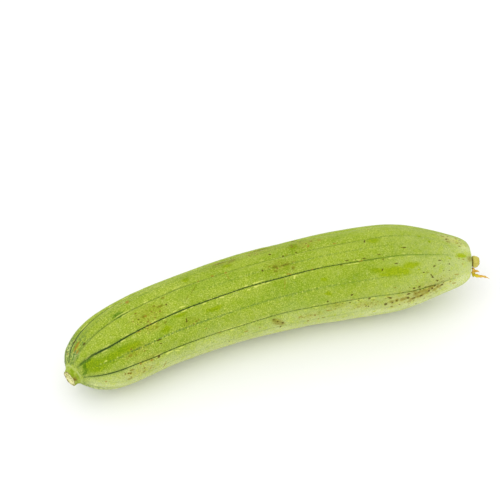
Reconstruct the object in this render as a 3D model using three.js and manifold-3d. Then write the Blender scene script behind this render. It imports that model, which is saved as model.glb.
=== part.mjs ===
// A smooth sponge gourd, a near relative of the ridge gourd, as picked and lying on its side: a long
// bowed green fruit with ten shallow grooves, the cut stub of its stalk at one end, and at the other
// the dried knob of the flower with its withered sepals.
//
// Millimetres, +Z up. The fruit rests on the plane z = 0 on a narrow flat strip that follows its bow.
// The stalk is at -X, the flower end at +X, and the middle of the fruit bows towards +Y. The origin
// is on the resting strip, below the middle of the fruit.
import * as THREE from 'three';
import { mergeVertices } from 'three/addons/utils/BufferGeometryUtils.js';
import Module from 'manifold-3d';

// The fruit's axis. Headings are in degrees from +X, seen from above, and a handle is the length over
// which the axis keeps near to its heading.
const HALF_SPAN = 151.7;
const BOW = 25;
const STALK_HEADING = 30;
const STALK_HANDLE = 72;
const FLOWER_HEADING = 17;
const FLOWER_HANDLE = 114;
const STALK_AXIS_HEIGHT = 27.7;
const FLOWER_AXIS_HEIGHT = 34.2;

// The fruit's outline from the stalk to the flower end: millimetres along the axis, then radius.
const FRUIT_OUTLINE = [
  [0, 8.2], [1, 9.8], [3.6, 13.5], [10, 20], [22.6, 26.1], [40.6, 28.8], [81, 30], [129, 31], [174, 32],
  [214, 33], [241, 33.3], [257, 31.8], [273, 27.8], [288, 23], [299, 19], [305, 15.9], [308, 12.7],
  [309.6, 7],
];
const RINGS_PER_SPAN = 3;

// The stalk end leans off the axis towards one side, stub and shoulder together.
const STALK_LEAN = 1.8;
const STALK_LEAN_ANGLE = 138;
const STALK_LEAN_LENGTH = 12;

// The grooves' places round the fruit, in degrees: 0 faces -Y, and 90 is the top.
const GROOVE_ANGLES = [13, 62, 93, 122, 157, 190, 222, 254, 289, 331];
// Where the sides of the mesh fall between one groove and the next, as shares of the way.
const SIDES_BETWEEN_GROOVES = [0, 0.1, 0.3, 0.5, 0.7, 0.9];
const FULL_RADIUS = 33.4;
const GROOVE_DEPTH = 0.45;
const GROOVE_DEPTH_BY_STALK = 1.3;
const STALK_SHARE = 0.1;
const GROOVE_HALF_WIDTH = 1.6;
const LOBE_RISE = 0.7;

// The stub of the stalk: millimetres along it, then radius, from the fruit to its hollowed cut.
const PART_GAP = 0.3;
const STUB_OUTLINE = [
  [PART_GAP, 0], [PART_GAP, 8], [0.8, 7.5], [1.5, 6.9], [2.3, 6.5], [3.2, 6.2], [4.2, 6.1], [4.7, 5.7],
  [4.4, 4.2], [4.1, 2.1], [4.1, 0],
];
const STUB_LENGTH = 4.7;
const STUB_TURN = 4;
const STUB_DROOP = 8;
const STUB_CUT_RADIUS = 6.2;
const STUB_ANGLES = 5;
const STUB_ANGLE_RISE = 0.35;
const STUB_SIDES = 30;

// The dried knob of the flower: millimetres out from the fruit, then radius. It stands a little off
// the axis.
const KNOB_OUTLINE = [
  [PART_GAP, 0], [PART_GAP, 2.7], [1.2, 2.3], [1.9, 3.2], [2.8, 4.2], [4.5, 4.4], [5.8, 3.8], [6.6, 2.5],
  [6.3, 1.2], [6.2, 0],
];
const KNOB_LENGTH = 7;
const KNOB_OFFSET = 0.6;
const KNOB_OFFSET_ANGLE = -40;
const KNOB_CORNERS = 5;
const KNOB_CORNER_RISE = 0.2;
const KNOB_SIDES = 20;

// The withered sepals stand at one angle round the flower end. Each path gives millimetres out from
// the end, then millimetres from the axis.
const SEPAL_ANGLE = -41;
const FLAP = { path: [[1.7, 5.4], [2.2, 8.3], [1.3, 12]], width: 2.7, thickness: 0.8 };
const WHISKER = { path: [[1.8, 10.3], [5, 10.9], [9, 11.5], [14, 13.8]], width: 1.6, thickness: 0.9 };
const SPUR = { path: [[2, 7.2], [4.2, 7.6], [6.5, 8.6]], width: 1.1, thickness: 0.65 };
const SEPAL_SIDES = 10;
const SEPAL_RINGS = 12;
// Under 1 moves a strip's widest place towards its root.
const SEPAL_LEAN = 0.7;

const wasm = await Module();
wasm.setup();

const UP = new THREE.Vector3(0, 0, 1);
const toRadians = THREE.MathUtils.degToRad;

// The fruit's axis as one cubic curve, stalk end first.
function makeFruitAxis() {
  const start = new THREE.Vector3(-HALF_SPAN, -BOW, STALK_AXIS_HEIGHT);
  const end = new THREE.Vector3(HALF_SPAN, -BOW, FLOWER_AXIS_HEIGHT);
  const climb = (FLOWER_AXIS_HEIGHT - STALK_AXIS_HEIGHT) / 3;
  const leave = toRadians(STALK_HEADING);
  const arrive = toRadians(FLOWER_HEADING);
  const first = new THREE.Vector3(Math.cos(leave), Math.sin(leave), 0).multiplyScalar(STALK_HANDLE);
  const second = new THREE.Vector3(-Math.cos(arrive), Math.sin(arrive), 0).multiplyScalar(FLOWER_HANDLE);
  first.add(start).add(new THREE.Vector3(0, 0, climb));
  second.add(end).sub(new THREE.Vector3(0, 0, climb));
  return new THREE.CubicBezierCurve3(start, first, second, end);
}

// The curve's own directions at a share of its length: along it, to its right, and up.
function directionsOn(curve, share) {
  const along = curve.getTangentAt(share);
  const right = new THREE.Vector3().crossVectors(along, UP).normalize();
  const up = new THREE.Vector3().crossVectors(right, along);
  return { along, right, up };
}

// The way from a share of the curve out to a radius and an angle. Angle 0 is to the right, 90 up.
function wayOut(curve, share, radius, angle) {
  const { right, up } = directionsOn(curve, share);
  return right.multiplyScalar(radius * Math.cos(angle)).addScaledVector(up, radius * Math.sin(angle));
}

// A point at a radius and an angle round a share of the curve.
function pointRound(curve, share, radius, angle) {
  return wayOut(curve, share, radius, angle).add(curve.getPointAt(share));
}

// How far the stalk end leans off the axis at a station, as a vector.
function leanAt(axis, station) {
  const lean = STALK_LEAN * Math.exp(-((station / STALK_LEAN_LENGTH) ** 2));
  return wayOut(axis, station / FRUIT_OUTLINE.at(-1)[0], lean, toRadians(STALK_LEAN_ANGLE));
}

// Turns an outline of [station, radius] pairs into a lathe, then moves each vertex to where `place`
// puts its station, radius and side. Sides count the way that angles grow on a curve.
function makeLathe(outline, sides, place) {
  const profile = outline.map(([station, radius]) => new THREE.Vector2(radius, station));
  const geometry = new THREE.LatheGeometry(profile, sides);
  const position = geometry.getAttribute('position');
  for (let i = 0; i < position.count; i++) {
    const [station, radius] = outline[i % outline.length];
    const side = (sides - (Math.floor(i / outline.length) % sides)) % sides;
    const point = place(station, radius, side);
    position.setXYZ(i, point.x, point.y, point.z);
  }
  return geometry;
}

function toSolid(geometry) {
  const bare = geometry.clone();
  bare.deleteAttribute('normal');
  bare.deleteAttribute('uv');
  const merged = mergeVertices(bare, 1e-3);
  const vertProperties = merged.getAttribute('position').array;
  const triVerts = new Uint32Array(merged.index.array);
  return new wasm.Manifold(new wasm.Mesh({ numProp: 3, vertProperties, triVerts }));
}

function fromSolid(solid) {
  const { vertProperties, triVerts } = solid.getMesh();
  const geometry = new THREE.BufferGeometry();
  geometry.setAttribute('position', new THREE.BufferAttribute(vertProperties, 3));
  geometry.setIndex(new THREE.BufferAttribute(triVerts, 1));
  geometry.computeVertexNormals();
  return geometry;
}

// How far the skin stands off its plain outline at a share of the way between two grooves: a broad
// lobe with a narrow groove on each side, both growing with the radius.
function skinRelief(share, gap, radius, station) {
  const length = FRUIT_OUTLINE.at(-1)[0];
  const byStalk = Math.exp(-((station / (STALK_SHARE * length)) ** 2));
  const depth = THREE.MathUtils.lerp(GROOVE_DEPTH, GROOVE_DEPTH_BY_STALK, byStalk);
  const fromGroove = Math.min(share, 1 - share) * gap * radius;
  const groove = Math.exp(-((fromGroove / GROOVE_HALF_WIDTH) ** 2));
  const lobe = Math.sin(Math.PI * share) - 0.5;
  return (radius / FULL_RADIUS) * (LOBE_RISE * lobe - depth * groove);
}

function makeFruitGeometry(axis) {
  const curve = new THREE.SplineCurve(FRUIT_OUTLINE.map(([x, y]) => new THREE.Vector2(x, y)));
  const rings = curve.getPoints((FRUIT_OUTLINE.length - 1) * RINGS_PER_SPAN).map((p) => [p.x, p.y]);
  const length = FRUIT_OUTLINE.at(-1)[0];
  const perGroove = SIDES_BETWEEN_GROOVES.length;
  const sides = GROOVE_ANGLES.length * perGroove;
  return makeLathe([[0, 0], ...rings, [length, 0]], sides, (station, radius, side) => {
    const groove = Math.floor(side / perGroove);
    const share = SIDES_BETWEEN_GROOVES[side % perGroove];
    const from = GROOVE_ANGLES[groove];
    const to = GROOVE_ANGLES[groove + 1] ?? GROOVE_ANGLES[0] + 360;
    const relief = skinRelief(share, toRadians(to - from), radius, station);
    const angle = toRadians(THREE.MathUtils.lerp(from, to, share));
    const point = pointRound(axis, station / length, radius + relief, angle).add(leanAt(axis, station));
    // The underside is flat where it would pass below the surface that the fruit lies on.
    return point.setZ(Math.max(point.z, 0));
  });
}

// The stub leaves the fruit square to its end and then turns and droops a little, to a hollowed cut.
function makeStubGeometry(axis) {
  const start = axis.getPointAt(0).add(leanAt(axis, 0));
  const out = axis.getTangentAt(0).negate();
  const turned = out.clone().applyAxisAngle(UP, toRadians(STUB_TURN));
  const last = turned.addScaledVector(UP, -Math.tan(toRadians(STUB_DROOP))).normalize();
  const middle = start.clone().addScaledVector(out, STUB_LENGTH / 2);
  const end = middle.clone().addScaledVector(last, STUB_LENGTH / 2);
  const curve = new THREE.QuadraticBezierCurve3(start, middle, end);
  return makeLathe(STUB_OUTLINE, STUB_SIDES, (station, radius, side) => {
    const share = station / STUB_LENGTH;
    const angle = (side / STUB_SIDES) * 2 * Math.PI;
    const rise = STUB_ANGLE_RISE * Math.cos(STUB_ANGLES * angle) * (radius / STUB_CUT_RADIUS);
    return pointRound(curve, share, radius + rise * share, angle);
  });
}

function makeKnobGeometry(axis) {
  const start = pointRound(axis, 1, KNOB_OFFSET, toRadians(KNOB_OFFSET_ANGLE));
  const end = start.clone().addScaledVector(axis.getTangentAt(1), KNOB_LENGTH);
  const line = new THREE.LineCurve3(start, end);
  return makeLathe(KNOB_OUTLINE, KNOB_SIDES, (station, radius, side) => {
    const angle = (side / KNOB_SIDES) * 2 * Math.PI;
    const rise = KNOB_CORNER_RISE * Math.cos(KNOB_CORNERS * angle + station);
    return pointRound(line, station / KNOB_LENGTH, radius + rise * Math.min(radius / 3, 1), angle);
  });
}

// One withered strip: a flattened spindle along a smooth path that leaves the flower end.
function makeStripGeometry(axis, { path, width, thickness }) {
  const along = axis.getTangentAt(1);
  const points = path.map(([out, off]) => {
    return pointRound(axis, 1, off, toRadians(SEPAL_ANGLE)).addScaledVector(along, out);
  });
  const curve = new THREE.CatmullRomCurve3(points);
  const outline = [];
  for (let ring = 0; ring <= SEPAL_RINGS; ring++) {
    const share = ring / SEPAL_RINGS;
    outline.push([share, ring % SEPAL_RINGS ? Math.sin(Math.PI * share ** SEPAL_LEAN) : 0]);
  }
  const right = pointRound(axis, 1, 1, toRadians(SEPAL_ANGLE + 90)).sub(axis.getPointAt(1));
  return makeLathe(outline, SEPAL_SIDES, (share, fullness, side) => {
    const turn = (side / SEPAL_SIDES) * 2 * Math.PI;
    const level = new THREE.Vector3().crossVectors(right, curve.getTangentAt(share)).normalize();
    return curve
      .getPointAt(share)
      .addScaledVector(right, fullness * width * Math.cos(turn))
      .addScaledVector(level, fullness * thickness * Math.sin(turn));
  });
}

function makeSepalsGeometry(axis) {
  const strips = [FLAP, WHISKER, SPUR].map((strip) => toSolid(makeStripGeometry(axis, strip)));
  return fromSolid(strips.reduce((whole, strip) => whole.add(strip)));
}

function makeMesh(name, geometry, color, roughness) {
  const mesh = new THREE.Mesh(geometry, new THREE.MeshStandardMaterial({ color, roughness, metalness: 0 }));
  mesh.name = name;
  return mesh;
}

const fruitAxis = makeFruitAxis();
const gourd = new THREE.Group();
gourd.add(makeMesh('fruit', makeFruitGeometry(fruitAxis), 0xa3bf4e, 0.55));
gourd.add(makeMesh('stalk_stub', makeStubGeometry(fruitAxis), 0xb4cc66, 0.6));
gourd.add(makeMesh('flower_knob', makeKnobGeometry(fruitAxis), 0xc9c27c, 0.7));
gourd.add(makeMesh('withered_sepals', makeSepalsGeometry(fruitAxis), 0xc08a35, 0.8));

export default gourd;
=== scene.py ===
"""The looks of a smooth sponge gourd, as picked and lying on its side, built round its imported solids.

Metres, +Z up. The stalk is at -X and the flower end at +X. The fruit's skin, the stub of the stalk,
the dried knob of the flower and the withered sepals are each a piece of their own, and each replaces
the solid of that name.
"""

import bisect
import logging
import math
from collections.abc import Iterable, Sequence
from dataclasses import dataclass
from enum import Enum
from functools import cached_property, lru_cache

import bmesh
import bpy
from mathutils import Matrix, Vector, noise
from mathutils.bvhtree import BVHTree
from mathutils.interpolate import poly_3d_calc


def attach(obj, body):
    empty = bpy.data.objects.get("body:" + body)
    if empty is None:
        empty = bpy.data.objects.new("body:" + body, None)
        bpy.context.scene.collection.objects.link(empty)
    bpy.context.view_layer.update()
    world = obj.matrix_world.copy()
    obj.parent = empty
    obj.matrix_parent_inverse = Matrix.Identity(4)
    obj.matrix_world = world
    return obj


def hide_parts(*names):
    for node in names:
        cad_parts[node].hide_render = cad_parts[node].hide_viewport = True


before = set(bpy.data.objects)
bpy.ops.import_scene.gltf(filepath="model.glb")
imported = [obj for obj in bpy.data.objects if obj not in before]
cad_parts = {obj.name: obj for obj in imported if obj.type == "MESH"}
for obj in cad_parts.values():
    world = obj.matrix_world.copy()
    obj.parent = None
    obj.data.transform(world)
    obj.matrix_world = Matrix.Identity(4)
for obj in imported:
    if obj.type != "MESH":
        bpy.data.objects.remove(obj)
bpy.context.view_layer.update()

log = logging.getLogger("gourd")

MM = 0.001
TINY = 1e-4  # A length that counts as none
BODY = "root"
PHOTO_SIZE = 500
Span = tuple[float, float]
Pairs = Sequence[Span]
Socket = bpy.types.NodeSocket
Colour = tuple[float, float, float, float]


def srgb(red: int, green: int, blue: int) -> Colour:
    """Turns a colour as the eye names it, 0 to 255, into the linear colour that a shader takes.

    Args:
        red: The red share.
        green: The green share.
        blue: The blue share.

    Returns:
        The linear colour, with full alpha.
    """
    def linear(level: int) -> float:
        """One channel, made linear."""
        share = level / 255
        return share / 12.92 if share <= 0.04045 else ((share + 0.055) / 1.055) ** 2.4

    return linear(red), linear(green), linear(blue), 1.0


def lerp(low: float, high: float, share: float) -> float:
    """Goes from low to high by a share of the way."""
    return low + (high - low) * share


def smooth(low: float, high: float, value: float) -> float:
    """Rises smoothly from 0 at low to 1 at high, or falls where low is the higher."""
    share = min(max((value - low) / (high - low), 0.0), 1.0)
    return share * share * (3 - 2 * share)


def ring_noise(first: float, turn: float, reach: float) -> float:
    """Noise from -1 to 1 that closes on itself round a ring, and is the finer the longer its reach."""
    return noise.noise(Vector((first, math.cos(turn) * reach, math.sin(turn) * reach)))


def lump_noise(point: Vector, size: Span, start: tuple[float, float, float]) -> float:
    """Noise from -1 to 1 in lumps of a length and a width, with a start of its own."""
    return noise.noise(Vector((point.x / size[0], point.y / size[1], point.z / size[1])) + Vector(start))


@lru_cache(maxsize=None)
def along_points(points: Pairs, at: float) -> float:
    """Reads a value off a list of (place, value) points, smoothly between them.

    Args:
        points: The points, in order of place.
        at: The place to read.

    Returns:
        The value there, which stays the same past either end.
    """
    if at <= points[0][0]:
        return points[0][1]
    for (start, first), (end, second) in zip(points, points[1:]):
        if at <= end:
            return lerp(first, second, smooth(start, end, at))
    return points[-1][1]


def catmull_rom(points: Pairs, steps: int) -> list[Span]:
    """Draws the smooth curve through outline points.

    Args:
        points: The outline's points.
        steps: How many steps to take between one point and the next.

    Returns:
        The points on the curve, both ends among them.
    """
    last = len(points) - 1
    curve = []
    for step in range(last * steps + 1):
        place = min(step // steps, last - 1)
        share = step / steps - place
        before, start, end, after = (points[min(max(place + k, 0), last)] for k in (-1, 0, 1, 2))
        weights = (
            -share + 2 * share**2 - share**3, 2 - 5 * share**2 + 3 * share**3,
            share + 4 * share**2 - 3 * share**3, share**3 - share**2,
        )
        curve.append(tuple(
            sum(weight * value for weight, value in zip(weights, values)) / 2
            for values in zip(before, start, end, after)
        ))
    return curve


def evenly_spaced(points: Pairs, spacing: float) -> list[Span]:
    """Walks along an outline and marks points at an even spacing.

    Args:
        points: The outline.
        spacing: The distance between two marks.

    Returns:
        The marks, both ends among them.
    """
    lengths = [0.0]
    for start, end in zip(points, points[1:]):
        lengths.append(lengths[-1] + math.dist(start, end))
    count = max(round(lengths[-1] / spacing), 1)
    marks = []
    for step in range(count + 1):
        target = lengths[-1] * step / count
        place = min(max(bisect.bisect_right(lengths, target) - 1, 0), len(points) - 2)
        span = lengths[place + 1] - lengths[place]
        share = (target - lengths[place]) / span if span else 0.0
        marks.append(tuple(lerp(a, b, share) for a, b in zip(points[place], points[place + 1])))
    return marks


@dataclass(frozen=True)
class Curve:
    """A cubic curve that is walked by its length, with directions of its own at each place.

    Attributes:
        controls: The four points that draw it.
        steps: How finely its length is measured.
    """

    controls: tuple[tuple[float, float, float], ...]
    steps: int = 400

    def bezier(self, t: float) -> Vector:
        """The point at the curve's own parameter.

        Args:
            t: The parameter, from 0 to 1.

        Returns:
            The point.
        """
        a, b, c, d = (Vector(point) for point in self.controls)
        s = 1 - t
        return s**3 * a + 3 * s * s * t * b + 3 * s * t * t * c + t**3 * d

    @cached_property
    def lengths(self) -> list[float]:
        """Measures the curve step by step.

        Returns:
            The length walked by the end of each step, from 0 on.
        """
        walked = [0.0]
        for step in range(self.steps):
            ends = self.bezier(step / self.steps), self.bezier((step + 1) / self.steps)
            walked.append(walked[-1] + (ends[1] - ends[0]).length)
        return walked

    @lru_cache(maxsize=4096)
    def directions(self, share: float) -> tuple[Vector, Vector, Vector, Vector]:
        """Finds a place on the curve and the directions there.

        Args:
            share: The share of the curve's length, which may pass either end a little.

        Returns:
            The point, and the directions along the curve, to its right, and up.
        """
        inside = min(max(share, 0.0), 1.0)
        target = inside * self.lengths[-1]
        place = min(max(bisect.bisect_right(self.lengths, target) - 1, 0), self.steps - 1)
        span = self.lengths[place + 1] - self.lengths[place]
        t = (place + (target - self.lengths[place]) / span) / self.steps
        a, b, c, d = (Vector(point) for point in self.controls)
        s = 1 - t
        along = (3 * s * s * (b - a) + 6 * s * t * (c - b) + 3 * t * t * (d - c)).normalized()
        right = along.cross(Vector((0, 0, 1))).normalized()
        point = self.bezier(t) + along * ((share - inside) * self.lengths[-1])
        return point, along, right, right.cross(along)

    def way_out(self, share: float, radius: float, angle: float) -> Vector:
        """The way from the curve out to a radius and an angle. Angle 0 is to the right, 90 degrees up."""
        right, up = self.directions(share)[2:]
        return right * (radius * math.cos(angle)) + up * (radius * math.sin(angle))

    def point_round(self, share: float, radius: float, angle: float) -> Vector:
        """The point at a radius and an angle round a share of the curve."""
        return self.directions(share)[0] + self.way_out(share, radius, angle)


# The fruit's axis, with the sizes that the solids have
HALF_SPAN = 0.1517
BOW = 0.025
STALK_HEADING = math.radians(30)
STALK_HANDLE = 0.072
FLOWER_HEADING = math.radians(17)
FLOWER_HANDLE = 0.114
STALK_AXIS_HEIGHT = 0.0277
FLOWER_AXIS_HEIGHT = 0.0342
CLIMB = (FLOWER_AXIS_HEIGHT - STALK_AXIS_HEIGHT) / 3

FRUIT_AXIS = Curve((
    (-HALF_SPAN, -BOW, STALK_AXIS_HEIGHT),
    (-HALF_SPAN + STALK_HANDLE * math.cos(STALK_HEADING), -BOW + STALK_HANDLE * math.sin(STALK_HEADING),
     STALK_AXIS_HEIGHT + CLIMB),
    (HALF_SPAN - FLOWER_HANDLE * math.cos(FLOWER_HEADING), -BOW + FLOWER_HANDLE * math.sin(FLOWER_HEADING),
     FLOWER_AXIS_HEIGHT - CLIMB),
    (HALF_SPAN, -BOW, FLOWER_AXIS_HEIGHT),
))

# The fruit's outline: millimetres along the axis, then radius
FRUIT_OUTLINE = (
    (0, 8.2), (1, 9.8), (3.6, 13.5), (10, 20), (22.6, 26.1), (40.6, 28.8), (81, 30), (129, 31),
    (174, 32), (214, 33), (241, 33.3), (257, 31.8), (273, 27.8), (288, 23), (299, 19), (305, 15.9),
    (308, 12.7), (309.6, 7),
)
FRUIT_LENGTH = FRUIT_OUTLINE[-1][0]
FULL_RADIUS = 33.4

# The stalk end leans off the axis towards one side
STALK_LEAN = 0.0018
STALK_LEAN_ANGLE = math.radians(138)
STALK_LEAN_LENGTH = 12


def stalk_lean(station: float) -> Vector:
    """How far the stalk end leans off the axis at a station in millimetres."""
    lean = STALK_LEAN * math.exp(-((station / STALK_LEAN_LENGTH) ** 2))
    return FRUIT_AXIS.way_out(station / FRUIT_LENGTH, lean, STALK_LEAN_ANGLE)


class MarkKind(Enum):
    """What a mark on the skin is, from a crisp fleck to a soft patch of another green."""

    FLECK = "fleck"
    RUST = "rust"
    STAIN = "stain"
    PALE = "pale"
    BRIGHT = "bright"
    DEEP = "deep"
    PEPPER = "pepper"
    SHADE = "shade"
    # Soft pale patches, partly the skin's own paler tone and partly painted light: rim light and reflection
    # at the fruit's edges, light bounced up from the floor on its belly, and a highlight beside the
    # flower's knob
    PALE_AND_LIT = "pale_and_lit"


@dataclass(frozen=True)
class Mark:
    """One mark on the skin, placed as the camera sees it.

    Attributes:
        kind: What the mark is.
        x: Pixels from the picture's left edge to its middle.
        y: Pixels from the picture's top edge to its middle.
        length: Its length, in pixels.
        width: Its width, in pixels.
        heading: The way that its length lies, in degrees up from level in the picture.
    """

    kind: MarkKind
    x: float
    y: float
    length: float
    width: float
    heading: float = 0.0


def marks_of(kind: MarkKind, rows: Iterable[tuple[float, ...]]) -> list[Mark]:
    """Makes a mark of one kind from each row of x, y, length, width and heading."""
    return [Mark(kind, *row) for row in rows]


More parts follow.
